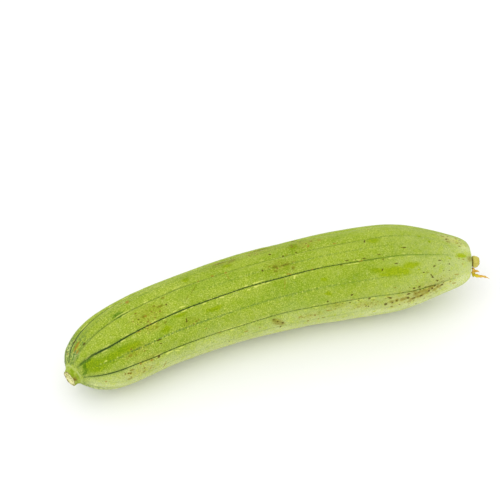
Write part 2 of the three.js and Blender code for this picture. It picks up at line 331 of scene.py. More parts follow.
MARKS = [
    *marks_of(MarkKind.FLECK, [
        (74.7, 342.1, 2.8, 1.9, 40), (84.2, 343.9, 3, 1.9, 35), (66.8, 351, 2, 1.4, 70),
        (138.3, 319.4, 1.4, 1.2), (141.2, 322.3, 1.5, 0.9, 20), (137.9, 324.4, 1.5, 0.9, 20),
        (158.8, 356.4, 3.4, 2.6, 30), (166.1, 304.5, 2.6, 1.5, 20), (158.8, 340, 6, 1.4, 20),
        (161.1, 343.5, 1.8, 1.3, -20), (262.6, 270.6, 1.9, 1.7), (269.7, 254.4, 3.4, 1.3, 10),
        (283.1, 256.3, 2.6, 1.2, 5), (296, 252.4, 1.6, 1.2), (295.6, 258.2, 1, 0.8), (229.5, 341.4, 1.1, 1),
        (280.7, 326.6, 1.9, 1.3), (186.5, 320.4, 4, 1.4, -85), (274, 319.6, 1.4, 1, -30),
        (282.8, 322.8, 2.4, 1.6), (277.6, 321.6, 2, 1), (364.3, 241.4, 2.4, 1.4, 75),
        (379.1, 254.4, 5, 0.9), (364, 258.4, 4.4, 1.1, 3), (396.3, 263.5, 4.4, 1),
        (383.3, 259.6, 2.1, 1.3, 80), (382.4, 269.9, 2.1, 1.1, 75), (346.8, 260.5, 3.6, 1.1, -5),
        (355.4, 259.6, 1.2, 0.9), (352.1, 294.9, 2.6, 1.5, 30), (327.9, 301.3, 1.9, 1.5, -50),
        (358.7, 300.3, 2, 1), (350, 302.4, 2, 1), (369.3, 298.5, 3, 1.2, 10), (389.9, 297.8, 4.6, 1.2),
        (385.7, 304.2, 3.2, 2.2, -20), (392.4, 302.7, 2.6, 1.4, 25), (403.6, 247.4, 5.8, 1),
        (439.6, 260.4, 3.2, 1.3), (434.4, 266, 2.6, 1.2, 20), (449.5, 264, 2, 0.9, -25),
        (449.2, 270.4, 1.5, 1.1, 40), (423.7, 272.5, 2.8, 1), (431.8, 275.6, 4, 1.3, -48),
        (433, 277.2, 2.6, 1.2, -10), (437.1, 280.3, 3, 1.1), (441.9, 284.7, 3.4, 1.3, 28),
        (434.9, 285.6, 3, 1.3, 28), (419.6, 286.6, 2.2, 1.8, 10), (414.1, 288.4, 2.8, 1.7, 40),
        (420.2, 289.5, 1.8, 1.3), (403, 292.5, 2.6, 1), (408.4, 294, 4.4, 1.6, 12),
        (408.1, 297.8, 2.6, 2.4, 40), (413.8, 297.9, 4.2, 1, 20), (421.1, 295.6, 3.6, 1.4, 35),
        (428.8, 290.8, 3.2, 1.2, 40), (432.3, 288.6, 3, 1.2, 40), (425.6, 287, 3, 1, 15),
        (396.8, 300.6, 2, 1.1, 60), (409.7, 287.6, 1.3, 1), (423.4, 288.9, 1.4, 1.1),
        (446, 239.3, 2.4, 1.2, -30), (459.4, 246.3, 2.2, 0.9, -20), (443.8, 270.4, 1.3, 1),
        (416.2, 303.5, 1.4, 0.9), (366, 306, 1.6, 1.2), (368.5, 306.4, 1.4, 1),
    ]),
    *marks_of(MarkKind.RUST, [
        (127.1, 302, 4, 2.9, 20), (121.1, 303.3, 1.6, 1), (76.4, 346.4, 12.6, 2.4, 60),
        (77.4, 351.8, 5, 1.9, 68), (66.4, 352.9, 1.6, 1.2, -30), (67.8, 354, 2.4, 1.8),
        (138.5, 331.9, 5.6, 1, 25), (145.4, 316.1, 3, 1.4, 25), (150.4, 323.2, 2, 1),
        (152, 360.1, 3.6, 1.6, 15), (140.8, 363.4, 2.2, 1.2, 10), (106, 381.6, 2, 1.8),
        (212.3, 275.9, 3.2, 1.7), (225.7, 273, 1.9, 1.5, 40), (227.9, 276.8, 5.6, 0.6, -60),
        (198.2, 281.2, 2.4, 0.8, 30), (216.5, 263.9, 6, 0.8, 20), (249.5, 253.6, 3, 1, 18),
        (286.5, 254.8, 1.5, 1), (308, 246, 3.6, 1.8, 50), (288.9, 274, 5, 1.1), (312.3, 269.4, 1.6, 1),
        (284.8, 284, 11, 0.5, 90), (246.2, 331.4, 4.6, 0.7, 16), (259.7, 327.6, 2.2, 0.8, 15),
        (300.3, 316.8, 4.4, 0.7, 30), (308, 320.9, 2.2, 1.2, 20), (318.5, 318.9, 1.4, 1.1),
        (219.5, 332.6, 2.4, 0.9, 15), (206.1, 328.5, 1.6, 1.2), (334.5, 243.5, 3.4, 1.1),
        (360.8, 261, 4, 0.8, 15), (352.4, 299.6, 2.2, 0.8), (318.4, 318.9, 1.1, 1.3),
        (328.5, 310.6, 8, 0.7, 5), (164.9, 364.6, 7.4, 0.8, 62), (151, 367.6, 4.2, 0.8, 72),
        (450.2, 281.4, 1.9, 1.4, 30), (454, 283.1, 4, 1, 5), (456.9, 274.3, 4.6, 0.9, 3),
        (463.7, 259.4, 2, 1.2), (458.8, 258.3, 1.7, 1.3), (462.6, 264.1, 1.2, 1.1),
        (417.2, 281, 2.8, 0.8, -68), (455.3, 238.2, 3.6, 1.2, -32), (456.9, 243.1, 2, 1.2, -30),
        (436.5, 233.3, 2, 0.8), (446, 234.9, 1.8, 0.8, -10), (368.2, 229.1, 1.6, 0.9),
        (319.1, 240, 3, 1.2, 10), (371.7, 307, 1.8, 0.8), (408.4, 306.1, 4, 0.8, 15),
    ]),
    *marks_of(MarkKind.STAIN, [
        (153.7, 306.2, 3, 2.2, 20), (160, 306.2, 6.6, 2.2, 18), (162.8, 297.9, 4, 2.2, 20),
        (165.3, 322.3, 3.4, 2.2, 40), (157, 327.3, 3.4, 1.8, 40), (144, 316.5, 5, 2.6, 25),
        (132.1, 370, 5, 2.2, 15), (130, 378.7, 5.8, 1.6, 26), (144.1, 371.7, 2, 2.6),
        (130.5, 355.5, 4.2, 3, 20), (220, 263.4, 12, 1.5, 15), (232.4, 260.6, 6, 1.6, 20),
        (258.3, 250.8, 16, 1.4, 16), (293.7, 241.6, 4, 2.6, 40), (275, 266.8, 5, 3.4),
        (275.5, 271, 3.6, 1.6), (293.2, 267.8, 3.8, 3.6), (285.5, 264.7, 9, 2, 12),
        (275.4, 320.6, 7, 4.4, -20), (281.4, 323.4, 7, 4.6, -5), (278, 322.2, 10, 6, -15),
        (341.6, 265.4, 2.6, 1.5), (187.5, 297, 6, 0.9, 62), (193.5, 289.2, 12, 0.9, 62),
        (427.8, 272.5, 3, 1.1), (415.4, 293.3, 5, 3.6, 20), (436.8, 291.7, 2.8, 1, 25),
        (430.1, 295.9, 3, 1, 20), (447.9, 241.7, 4.6, 1.7, -12), (442.6, 236.4, 4.4, 1.4, -25),
        (395.2, 287.7, 3, 1.2), (402.2, 299.4, 5, 3, 30), (396.8, 300.3, 4, 2.6, 50),
        # The first mark on this row darkens the crevice between the fruit's dimple and the flower's knob:
        # painted shade, not a stain
        (470.8, 259, 6, 5, 75), (416.5, 293.8, 8, 3.4, 30), (420, 292, 6, 2.4, 35),
        (424, 290.7, 7, 2.8, 25), (428.4, 289.8, 6, 2.4, 30), (431.5, 287, 8, 3, 40),
        (418.5, 296.2, 7, 3, 10), (412, 299, 7, 2.6, 20), (405.2, 298.4, 5, 2.6, 30),
        (422.5, 294.3, 5, 3, 50), (426.6, 292.4, 6, 2.4, 20), (414.6, 291, 6, 2.2, 20),
        (429.5, 286.2, 6, 2, 20), (409.5, 301.2, 5, 2, 15), (434.6, 289.4, 5, 2.2, 30),
        (391.6, 301.6, 5, 2, 15), (438.6, 286.4, 6, 3, 25), (323.3, 317.3, 3.2, 0.9, 10),
        (358.4, 307, 2.6, 1.2), (375.6, 304.5, 1.6, 1.2),
    ]),
    *marks_of(MarkKind.PEPPER, [
        (428, 289, 46, 13, 30), (402, 299, 36, 11, 18), (366, 304.5, 30, 6, 8), (338, 305.5, 22, 5, 8),
        (312, 315.5, 20, 4, 12), (452, 240, 24, 8, -30), (148, 314, 30, 14, 22), (152, 327, 16, 8, 25),
        (148, 359, 22, 6, 22), (138, 372, 28, 7, 15), (280, 266, 24, 11, 10), (302, 243, 28, 8, 15),
        (222, 263, 30, 6, 17), (260, 251, 34, 6, 15), (138, 350, 26, 8, 28), (190, 322, 14, 8, 20),
    ]),
    *marks_of(MarkKind.PALE, [
        (184.1, 310.8, 6.4, 1.3, 27), (182.2, 306.9, 6.6, 1.6, 18), (192.2, 307, 3.4, 1.2, 20),
        (164.3, 319.4, 2.6, 1.4, 25), (153.5, 321.5, 9, 1.3, 28), (147.5, 326.5, 4, 1, 30),
        (210.4, 299.3, 4.4, 1.3, 18), (221.9, 297.4, 4.2, 1.5, 15), (245.8, 285.9, 5, 1.5, 18),
        (248.7, 289.8, 4, 1.2, 18), (256.3, 286.9, 3, 1.2, 15), (263, 283.1, 3.8, 1.3, 15),
        (294.6, 277.2, 4, 1.6, 80), (105.8, 361.1, 3.4, 1.3, 20), (177.5, 350.5, 4.6, 1.2, 5),
        (168, 353.5, 3.4, 1.1, 20), (97, 352.8, 9, 1.5, 33), (88, 357.2, 7, 1.8, 38),
        (190, 326, 2.6, 2, 30),
    ]),
    *marks_of(MarkKind.BRIGHT, [
        (396, 271.3, 30, 10.6, 0), (411, 265.2, 18, 6, 12), (378, 270.4, 15, 6, -3), (386, 275, 16, 5, -8),
        (404, 271.5, 16, 8, 0), (97, 366, 24, 13, 25), (112, 357.5, 26, 9.6, 30), (132, 346.5, 22, 6.6, 30),
        (124, 349, 22, 6, 30), (90, 364, 15, 13, 25), (166.9, 328.1, 8, 5.6, 20),
        (226.7, 265.8, 10, 3.4, 15), (185.5, 280.2, 8, 3.4, 20), (292.7, 246.7, 9, 6, 10),
        (323.3, 279.2, 4.4, 2.6), (327.5, 293.6, 7.4, 3.8), (373, 240.3, 13, 5, 5),
        (324, 279.6, 7, 3.4, 20), (461.4, 255.8, 10, 4, -3), (419.6, 236.9, 2.8, 1.8),
        (419.2, 269.1, 2.6, 2.4), (429.1, 241.7, 2.4, 2.2), (334.5, 315.4, 1.5, 1.1),
        (343, 317.1, 1.8, 1.2), (373.8, 311.2, 2.4, 1.2), (449.2, 258.3, 2.2, 1), (214, 309, 18, 5, 20),
        (180, 315, 14, 4, 24), (166, 330, 12, 5, 26), (302, 240.5, 9, 2.6, 12),
    ]),
    *marks_of(MarkKind.DEEP, [
        (118, 315.2, 10, 6.4, 25), (121.5, 313.6, 6, 4, 35), (82.4, 363.4, 6, 3, 25),
        (84.2, 367.3, 9, 3.4, 85), (87, 360.6, 9, 3, 35), (85.4, 372.4, 7, 3, 75), (77.5, 358, 7, 1.6, 70),
        (100, 351.6, 7, 1.6, 30), (73.5, 357, 9, 1.4, 80),
    ]),
    *marks_of(MarkKind.SHADE, [
        (298, 288, 70, 16, 12), (258, 300, 50, 12, 15), (188, 322, 24, 12, 22), (335, 283, 40, 10, 10),
        (205, 284, 64, 12, 18), (300, 304, 56, 8, 12), (118, 350, 34, 8, 28), (105, 362, 30, 14, 25),
        (160, 336, 24, 8, 26), (116, 316, 12, 8, 30), (292.7, 246.7, 12, 8, 10), (170, 322, 14, 9, 22),
        (356.3, 274.7, 7, 2.4, 5), (365.5, 265.6, 4, 1.4, 8),
    ]),
    # Soft pale patches, partly painted light: rim light and reflection on the edges by the stalk, floor
    # bounce on the belly, and a highlight at the flower end beside the knob
    *marks_of(MarkKind.PALE_AND_LIT, [
        (68.5, 349, 16, 7, 80), (463, 281, 18, 9, 45), (446, 291, 28, 7, 28), (418, 303, 34, 6, 15),
        (85, 384, 12, 6, -20), (108, 386, 26, 6, 0), (466, 248, 12, 8, -50), (452, 239, 18, 7, -30),
        (472, 264, 20, 6, 85), (380, 311, 40, 4, 8), (75, 356, 10, 6, 70), (160, 374, 44, 5, 22),
    ]),
]


@dataclass(frozen=True)
class GrooveLine:
    """One dark line along the fruit, in its groove, from the stalk end to the flower end.

    Attributes:
        angle: Its angle round the fruit, in degrees, at stations in millimetres.
        width: Its half width, in millimetres, at stations.
        tone: How dark it is, from 0 to 1, at stations.
        between: How dark the faint line is that lies halfway to the next groove, at stations.
    """

    angle: Pairs
    width: Pairs
    tone: Pairs
    between: Pairs


WIDE_BY_STALK = (
    (0, 0.7), (10, 0.72), (28, 0.52), (60, 0.4), (150, 0.34), (230, 0.28), (270, 0.45), (300, 0.6),
)
FINE = ((0, 0.5), (15, 0.45), (40, 0.32), (90, 0.27), (230, 0.24), (270, 0.35), (300, 0.5))
FADES = ((0, 0.75), (60, 0.7), (120, 0.5), (200, 0.4), (260, 0.3), (300, 0.12), (308, 0))
FADES_LOW = ((0, 0.3), (50, 0.45), (120, 0.4), (260, 0.25), (300, 0.1), (308, 0))
DOTTED = ((0, 0.1), (60, 0.22), (150, 0.25), (240, 0.12), (280, 0))

# Ten lines, in order of their angle: 0 degrees faces -Y, and 90 is the top
GROOVE_LINES = (
    GrooveLine(
        angle=((0, 20), (30, 18), (60, 14), (110, 12), (165, 14.5), (225, 14.4), (275, 11.6), (310, 14)),
        width=FINE,
        tone=(
            (0, 0.4), (8, 0.8), (20, 0.95), (60, 0.9), (130, 0.8), (175, 0.7), (230, 0.68), (270, 0.82),
            (288, 0.5), (298, 0.08), (304, 0),
        ),
        between=(
            (0, 0.05), (25, 0.35), (45, 0.65), (95, 0.5), (190, 0.32), (240, 0.25), (262, 0.05), (290, 0),
        ),
    ),
    GrooveLine(
        angle=((0, 70), (30, 61), (100, 62), (190, 65), (280, 64), (310, 60)),
        width=WIDE_BY_STALK,
        tone=(
            (0, 0.25), (6, 0.55), (16, 0.9), (30, 1), (185, 1), (205, 0.85), (228, 0.74), (250, 0.66),
            (275, 0.45), (297, 0.14), (306, 0.1),
        ),
        between=((0, 0), (90, 0.06), (120, 0.2), (190, 0.3), (230, 0.2), (270, 0.05)),
    ),
    GrooveLine(
        angle=((0, 94), (130, 95), (210, 95), (260, 97), (310, 100)),
        width=FINE,
        tone=(
            (0, 0.3), (15, 0.4), (35, 0.65), (85, 0.6), (130, 0.38), (210, 0.46), (240, 0.45), (262, 0.32),
            (290, 0),
        ),
        between=((0, 0), (18, 0.3), (60, 0.35), (90, 0.2), (200, 0.15), (260, 0.05)),
    ),
    GrooveLine(
        angle=((0, 122), (20, 126), (50, 130), (200, 128), (310, 122)),
        width=FINE,
        tone=((0, 0.5), (8, 0.95), (45, 0.85), (90, 0.6), (200, 0.4), (250, 0.3), (300, 0)),
        between=DOTTED,
    ),
    GrooveLine(((0, 157), (310, 159)), WIDE_BY_STALK, FADES, DOTTED),
    GrooveLine(((0, 190), (310, 187)), FINE, FADES, DOTTED),
    GrooveLine(((0, 222), (310, 225)), FINE, FADES, DOTTED),
    GrooveLine(((0, 254), (310, 252)), WIDE_BY_STALK, FADES, DOTTED),
    GrooveLine(((0, 289), (310, 292)), FINE, FADES, DOTTED),
    GrooveLine(((0, 331), (310, 330)), FINE, FADES_LOW, DOTTED),
)


@dataclass(frozen=True)
class Ellipse:
    """A mark's shape on the unrolled skin, in millimetres: along the fruit, then round it."""

    middle: tuple[float, float]
    half_length: float
    half_width: float
    turn: float


class ShaderGraph:
    """A material's node tree, with short calls for the nodes that the finishes share.

    Attributes:
        material: The material.
        place: The place in the object, in metres.
        colour: What is painted so far.
    """

    def __init__(self, name: str) -> None:
        """Starts an empty tree.

        Args:
            name: The material's name.
        """
        self.material = bpy.data.materials.new(name)
        self.material.use_nodes = True
        self.tree = self.material.node_tree
        self.tree.nodes.clear()
        self.place = self.node("ShaderNodeTexCoord").outputs["Object"]
        self.colour: object = None

    @cached_property
    def straight(self) -> Socket:
        """The place on the piece before it was bent, in metres."""
        return self.attribute("straight")

    def node(
        self, kind: str, inputs: dict[int | str, object] | None = None, **settings: object
    ) -> bpy.types.Node:
        """Adds a node.

        Args:
            kind: The node's type.
            inputs: What goes into its sockets: an output of another node, or a value.
            **settings: The node's own settings.

        Returns:
            The new node.
        """
        new = self.tree.nodes.new(kind)
        for name, value in settings.items():
            setattr(new, name, value)
        for key, value in (inputs or {}).items():
            if isinstance(value, bpy.types.NodeSocket):
                self.tree.links.new(value, new.inputs[key])
            else:
                new.inputs[key].default_value = value
        return new

    def attribute(self, name: str) -> Socket:
        """A vector that the piece's mesh holds at each of its points."""
        return self.node("ShaderNodeAttribute", attribute_name=name).outputs["Vector"]

    def parts(self, vector: object) -> tuple[Socket, ...]:
        """The three numbers of a vector."""
        return tuple(self.node("ShaderNodeSeparateXYZ", {0: vector}).outputs)

    def math(self, operation: str, *values: object) -> Socket:
        """One step of arithmetic on numbers."""
        return self.node("ShaderNodeMath", dict(enumerate(values)), operation=operation).outputs[0]

    def multiply(self, *values: object) -> Socket:
        """Multiplies several numbers.

        Args:
            *values: The numbers.

        Returns:
            Their product.
        """
        product = values[0]
        for value in values[1:]:
            product = self.math("MULTIPLY", product, value)
        return product

    def vector_math(self, operation: str, first: object, second: object) -> Socket:
        """One step of arithmetic on two vectors, with a vector for its result."""
        return self.node("ShaderNodeVectorMath", {0: first, 1: second}, operation=operation).outputs[0]

    def fade(
        self, value: object, low: object, high: object, bottom: object = 0.0, top: object = 1.0
    ) -> Socket:
        """Goes smoothly from bottom at low to top at high."""
        inputs = {"Value": value, "From Min": low, "From Max": high, "To Min": bottom, "To Max": top}
        return self.node("ShaderNodeMapRange", inputs, interpolation_type="SMOOTHSTEP").outputs["Result"]

    def clouds(
        self, scale: float, detail: float = 2.0, roughness: float = 0.5, place: Socket | None = None
    ) -> Socket:
        """Makes soft noise.

        Args:
            scale: How fine it is, per unit of length.
            detail: How many finer layers it has.
            roughness: How strong those are.
            place: Where it is read, if not in the object.

        Returns:
            The noise, from 0 to 1.
        """
        read = self.place if place is None else place
        inputs = {"Vector": read, "Scale": scale, "Detail": detail, "Roughness": roughness}
        return self.node("ShaderNodeTexNoise", inputs).outputs[0]

    def stretched(self, along: float, across: float) -> Socket:
        """The place on the straight piece, scaled along it and across it."""
        return self.vector_math("MULTIPLY", self.straight, (along, across, across))

    def streaks(self, along: float, across: float, detail: float = 2.0, roughness: float = 0.5) -> Socket:
        """Soft noise from 0 to 1, with one scale along the straight piece and one across it."""
        return self.clouds(1, detail, roughness, self.stretched(along, across))

    def toward(self, across: float, up: float) -> Socket:
        """How far a place on the straight piece is from its axis in one direction, in metres."""
        _, y, z = self.parts(self.straight)
        return self.math("MULTIPLY_ADD", y, across, self.multiply(z, up))

    def radius(self) -> Socket:
        """How far a place on the straight piece is from its axis, in metres."""
        _, y, z = self.parts(self.straight)
        return self.math("SQRT", self.math("MULTIPLY_ADD", y, y, self.multiply(z, z)))

    def facing(self, across: float, up: float) -> Socket:
        """How squarely a place on the straight piece faces one direction, from -1 to 1."""
        return self.math("DIVIDE", self.toward(across, up), self.math("MAXIMUM", self.radius(), TINY))

    def dots(self, scale: float, share: float, place: Socket | None = None) -> tuple[Socket, Socket]:
        """Scatters dots, one in each cell of a random net.

        Args:
            scale: Cells per unit of length.
            share: The share of the cells that have a dot.
            place: Where the pattern is read, if not in the object.

        Returns:
            The distance from the dot, in cells, made long where a cell has none, and a number of the cell.
        """
        read = self.place if place is None else place
        cells = self.node("ShaderNodeTexVoronoi", {"Vector": read, "Scale": scale})
        chance, other = self.parts(cells.outputs["Color"])[:2]
        empty = self.math("GREATER_THAN", chance, share)
        return self.math("ADD", cells.outputs["Distance"], empty), other

    def mix(self, base: object, top: object, mask: object, blend: str = "MIX") -> Socket:
        """Lays one colour over another by a mask."""
        inputs = {0: mask, 6: base, 7: top}
        return self.node("ShaderNodeMix", inputs, data_type="RGBA", blend_type=blend).outputs[2]

    def over(self, top: object, mask: object, blend: str = "MIX") -> None:
        """Lays a colour over what is painted so far."""
        self.colour = self.mix(self.colour, top, mask, blend)

    def mark_mask(
        self, place: object, ellipses: Sequence[Ellipse], soft: float, strength: float
    ) -> Socket:
        """Fills many ellipses.

        Args:
            place: The place on the skin, in millimetres.
            ellipses: The ellipses, in the same units.
            soft: How soft their edges are, as a share of their size.
            strength: How strong the mask is inside them.

        Returns:
            The mask, which is 0 outside them all.
        """
        nearest = 0.0
        for ellipse in ellipses:
            inputs = {
                "Vector": place, "Location": (*ellipse.middle, 0), "Rotation": (0, 0, ellipse.turn),
                "Scale": (2 * ellipse.half_length, 2 * ellipse.half_width, 1),
            }
            local = self.node("ShaderNodeMapping", inputs, vector_type="TEXTURE").outputs[0]
            near = self.node("ShaderNodeTexGradient", {"Vector": local}, gradient_type="SPHERICAL")
            nearest = self.math("MAXIMUM", near.outputs[1], nearest)
        return self.fade(nearest, (1 - soft) / 2, (1 + soft) / 2, 0, strength)

    def finish(
        self, height: Socket | None = None, depth: float = 0.0, **inputs: object
    ) -> bpy.types.Material:
        """Ends the tree in one surface shader.

        Args:
            height: The bumps' height, from 0 to 1, or None where there are none.
            depth: How deep the bumps are, in metres.
            **inputs: What else goes into the shader, with _ for a space in a socket's name.

        Returns:
            The finished material.
        """
        sockets = {name.replace("_", " "): value for name, value in inputs.items()}
        sockets["Base Color"] = self.colour
        if height is not None:
            bump = self.node("ShaderNodeBump", {"Strength": 1.0, "Distance": depth, "Height": height})
            sockets["Normal"] = bump.outputs["Normal"]
        shader = self.node("ShaderNodeBsdfPrincipled", sockets)
        self.node("ShaderNodeOutputMaterial", {"Surface": shader.outputs[0]})
        return self.material


@dataclass(frozen=True)
class SkinColours:
    """The colours of the fruit's skin, from its greens to its browns."""

    pale: Colour = srgb(148, 168, 50)
    deep: Colour = srgb(126, 152, 18)
    belly: Colour = srgb(184, 196, 122)
    # The palest colour at the bottom: partly the skin's own, partly painted light bounced up from the floor
    underside_and_bounce_light: Colour = srgb(214, 220, 168)
    # Pale tone: the skin's own in the soft blotches and at the flower's tip, and painted light in the soft
    # pale patches at the edges and on the belly
    pale_and_lit: Colour = srgb(218, 226, 164)
    collar: Colour = srgb(146, 164, 70)
    grain: Colour = srgb(100, 128, 10)
    speck: Colour = srgb(208, 216, 104)
    haze: Colour = srgb(84, 114, 50)
    line: Colour = srgb(36, 62, 22)
    fresh_line: Colour = srgb(74, 116, 4)
    fleck: Colour = srgb(78, 62, 8)
    brown: Colour = srgb(122, 102, 28)
    rust: Colour = srgb(150, 122, 34)
    fresh_tint: Colour = (0.95, 0.99, 0.42, 1)
    bright_tint: Colour = (0.8, 0.86, 0.04, 1)


SKIN = SkinColours()


@dataclass(frozen=True)
class MarkLayer:
    """How the marks of one kind lie on the skin.

    Attributes:
        colour: Their colour, or the tint that they multiply the skin's colour by.
        soft: How soft their edges are, as a share of their size.
        strength: How much they cover.
        blend: How they are laid on.
    """

    colour: Colour
    soft: float
    strength: float
    blend: str = "MIX"


MARK_LAYERS = {
    # Painted rim light, reflection and floor bounce, partly the skin's own paler tone
    MarkKind.PALE_AND_LIT: MarkLayer(SKIN.pale_and_lit, 0.95, 0.6),
    MarkKind.SHADE: MarkLayer((0.84, 0.91, 0.7, 1), 0.95, 1, "MULTIPLY"),
    MarkKind.BRIGHT: MarkLayer(SKIN.bright_tint, 0.5, 0.95, "MULTIPLY"),
    MarkKind.DEEP: MarkLayer((0.4, 0.56, 0.25, 1), 0.5, 0.92, "MULTIPLY"),
    MarkKind.PALE: MarkLayer(SKIN.speck, 0.3, 0.75),
    MarkKind.PEPPER: MarkLayer((0.92, 0.86, 0.66, 1), 0.95, 1, "MULTIPLY"),
    MarkKind.STAIN: MarkLayer((0.66, 0.55, 0.3, 1), 0.5, 0.9, "MULTIPLY"),
    MarkKind.RUST: MarkLayer(SKIN.rust, 0.3, 0.8),
    MarkKind.FLECK: MarkLayer(SKIN.fleck, 0.25, 0.85),
}


class GourdSkin(ShaderGraph):
    """The fruit's skin: matte mottled green with dark lines, pale specks, and small brown marks.

    Attributes:
        roughness: How rough it is.
        shoulder: The stations, in millimetres, from which the shoulder by the stalk begins and is full.
        collar: The stations between which the pale collar round the stalk fades out.
        thinning: The stations between which the specks thin out.
        flower_end: The stations between which the flower end grows paler.
        low_flower_end: The stations between which its lower side does.
        flower_tip: The stations between which its tip does.
        fresh_lines: The stations between which the lines turn a fresher green.
        patch_edges: How fine the large patches' ragged edges are, and how far they wander in millimetres.
        mark_edges: The same for the small marks.
    """

    roughness: float = 0.52
    shoulder: Span = (62, 2)
    collar: Span = (5, 0.5)
    thinning: Span = (90, 285)
    flower_end: Span = (215, 300)
    low_flower_end: Span = (235, 300)
    flower_tip: Span = (276, 309)
    fresh_lines: Span = (210, 265)
    patch_edges: Span = (330, 4.5)
    mark_edges: Span = (900, 1.9)

    def __init__(self, marks: dict[MarkKind, list[Ellipse]]) -> None:
        """Readies the places that the patterns read.

        Args:
            marks: The marks' shapes on the unrolled skin, by kind.
        """
        super().__init__("gourd_skin")
        self.marks = marks
        skin = self.node("ShaderNodeUVMap", uv_map="skin").outputs[0]
        self.unrolled = self.vector_math("MULTIPLY", skin, (FRUIT_LENGTH, math.tau * FULL_RADIUS, 0))
        self.station = self.parts(self.unrolled)[0]
        self.by_stalk = self.fade(self.station, *self.shoulder)

    def paint(self) -> bpy.types.Material:
        """Paints the skin layer over layer, and gives it its fine relief.

        Returns:
            The finished material.
        """
        self.ground()
        patch_place = self.ragged(*self.patch_edges)
        # Soft pale patches, partly the skin's own tone and partly painted light at the edges and on the
        # belly
        self.lay(patch_place, MarkKind.PALE_AND_LIT)
        self.mottle()
        self.over(SKIN.collar, self.fade(self.station, *self.collar, 0, 0.9))
        stipple = self.specks()
        self.lay(patch_place, MarkKind.SHADE, MarkKind.BRIGHT, MarkKind.DEEP)
        self.dashes()
        mark_place = self.ragged(*self.mark_edges)
        self.lay(mark_place, MarkKind.PALE)
        groove = self.lines()
        self.pepper(self.lay(patch_place, MarkKind.PEPPER))
        self.lay(mark_place, MarkKind.STAIN, MarkKind.RUST, MarkKind.FLECK)
        self.hidden_marks()

        grain = self.clouds(1400, 3, 0.6)
        height = self.math("MULTIPLY_ADD", stipple, 0.6, self.multiply(grain, 0.5))
        height = self.math("SUBTRACT", height, self.multiply(groove, 0.9))
        rough = self.math("MULTIPLY_ADD", grain, 0.16, self.roughness - 0.08)
        return self.finish(
            height, 0.00012, Roughness=rough, Specular_IOR_Level=0.06, Sheen_Weight=0.01,
            Sheen_Roughness=0.4,
        )

    def lay(self, place: Socket, *kinds: MarkKind) -> Socket:
        """Lays the listed marks over the skin.

        Args:
            place: The place on the unrolled skin, in millimetres.
            *kinds: The kinds of mark, in order.

        Returns:
            The mask of the last kind.
        """
        for kind in kinds:
            layer = MARK_LAYERS[kind]
            mask = self.mark_mask(place, self.marks[kind], layer.soft, layer.strength)
            self.over(layer.colour, mask, layer.blend)
        return mask

    def ground(self) -> None:
        """Paints the mottled green under everything else, paler at the flower end and paler towards the
        bottom: partly the skin's own pale belly, partly painted light bounced up from the floor.
        """
        streaks = self.streaks(22, 95, 3, 0.55)
        clouds = self.streaks(28, 55)
        self.colour = self.mix(SKIN.pale, SKIN.deep, self.fade(streaks, 0.42, 0.72, 0, 0.75))
        self.over(SKIN.deep, self.fade(clouds, 0.5, 0.72, 0, 0.5))
        wave = self.math("MULTIPLY_ADD", clouds, 0.5, self.facing(0, 1))
        # Paler towards the bottom: partly the skin's own pale belly, partly painted floor bounce
        self.over(SKIN.belly, self.fade(wave, 0.62, -0.35))
        low = self.math("SUBTRACT", wave, self.fade(self.station, *self.low_flower_end, 0, 0.55))
        self.over(SKIN.underside_and_bounce_light, self.fade(low, 0.2, -0.55, 0, 0.85))
        end_share = self.fade(wave, 1.5, 0.3, 0.25, 0.6)
        self.over(SKIN.belly, self.multiply(self.fade(self.station, *self.flower_end), end_share))
        self.over(SKIN.pale_and_lit, self.fade(self.station, *self.flower_tip, 0, 0.28))

    def mottle(self) -> None:
        """Varies how yellow the green is, in soft blotches and fine grain."""
        blotch = self.clouds(230, 5, 0.78)
        self.over(SKIN.pale_and_lit, self.fade(blotch, 0.48, 0.32, 0, 0.13))
        self.over(SKIN.fresh_tint, self.fade(blotch, 0.46, 0.64, 0, 0.8), "MULTIPLY")

    def ragged(self, scale: float, reach: float) -> Socket:
        """The place on the unrolled skin, shifted here and there, so that marks have ragged edges.

        Args:
            scale: How fine the ragged edges are.
            reach: How far they wander, in millimetres from side to side.

        Returns:
            The shifted place, in millimetres.
        """
        inputs = {"Vector": self.place, "Scale": scale, "Detail": 3, "Roughness": 0.6}
        cloud = self.node("ShaderNodeTexNoise", inputs).outputs["Color"]
        shift = self.vector_math("SUBTRACT", cloud, (0.5, 0.5, 0.5))
        wander = self.vector_math("MULTIPLY", shift, (reach, reach, 0))
        return self.vector_math("ADD", self.unrolled, wander)

    def specks(self) -> Socket:
        """Scatters fine pale specks over a fine dark grain.

        Returns:
            The specks' mask.
        """
        strength = self.fade(self.station, *self.thinning, 1, 0.72)
        grain = self.clouds(1600, 2, 0.6)
        self.over(SKIN.grain, self.multiply(self.fade(grain, 0.52, 0.3, 0, 0.75), strength))
        self.over(SKIN.speck, self.multiply(self.fade(grain, 0.5, 0.72, 0, 0.5), strength))
        fine, fine_chance = self.dots(1100, 0.6)
        coarse, coarse_chance = self.dots(640, 0.3)
        fine_mask = self.multiply(self.fade(fine, 0.55, 0.25), self.fade(fine_chance, 0, 1, 0.25, 1))
        coarse_mask = self.multiply(self.fade(coarse, 0.36, 0.18), self.fade(coarse_chance, 0, 1, 0.35, 1))
        mask = self.math("MAXIMUM", fine_mask, coarse_mask)
        mask = self.multiply(mask, self.fade(self.clouds(45), 0.3, 0.7, 0.4, 1), strength)
        self.over(SKIN.speck, self.multiply(mask, 0.8))
        return mask

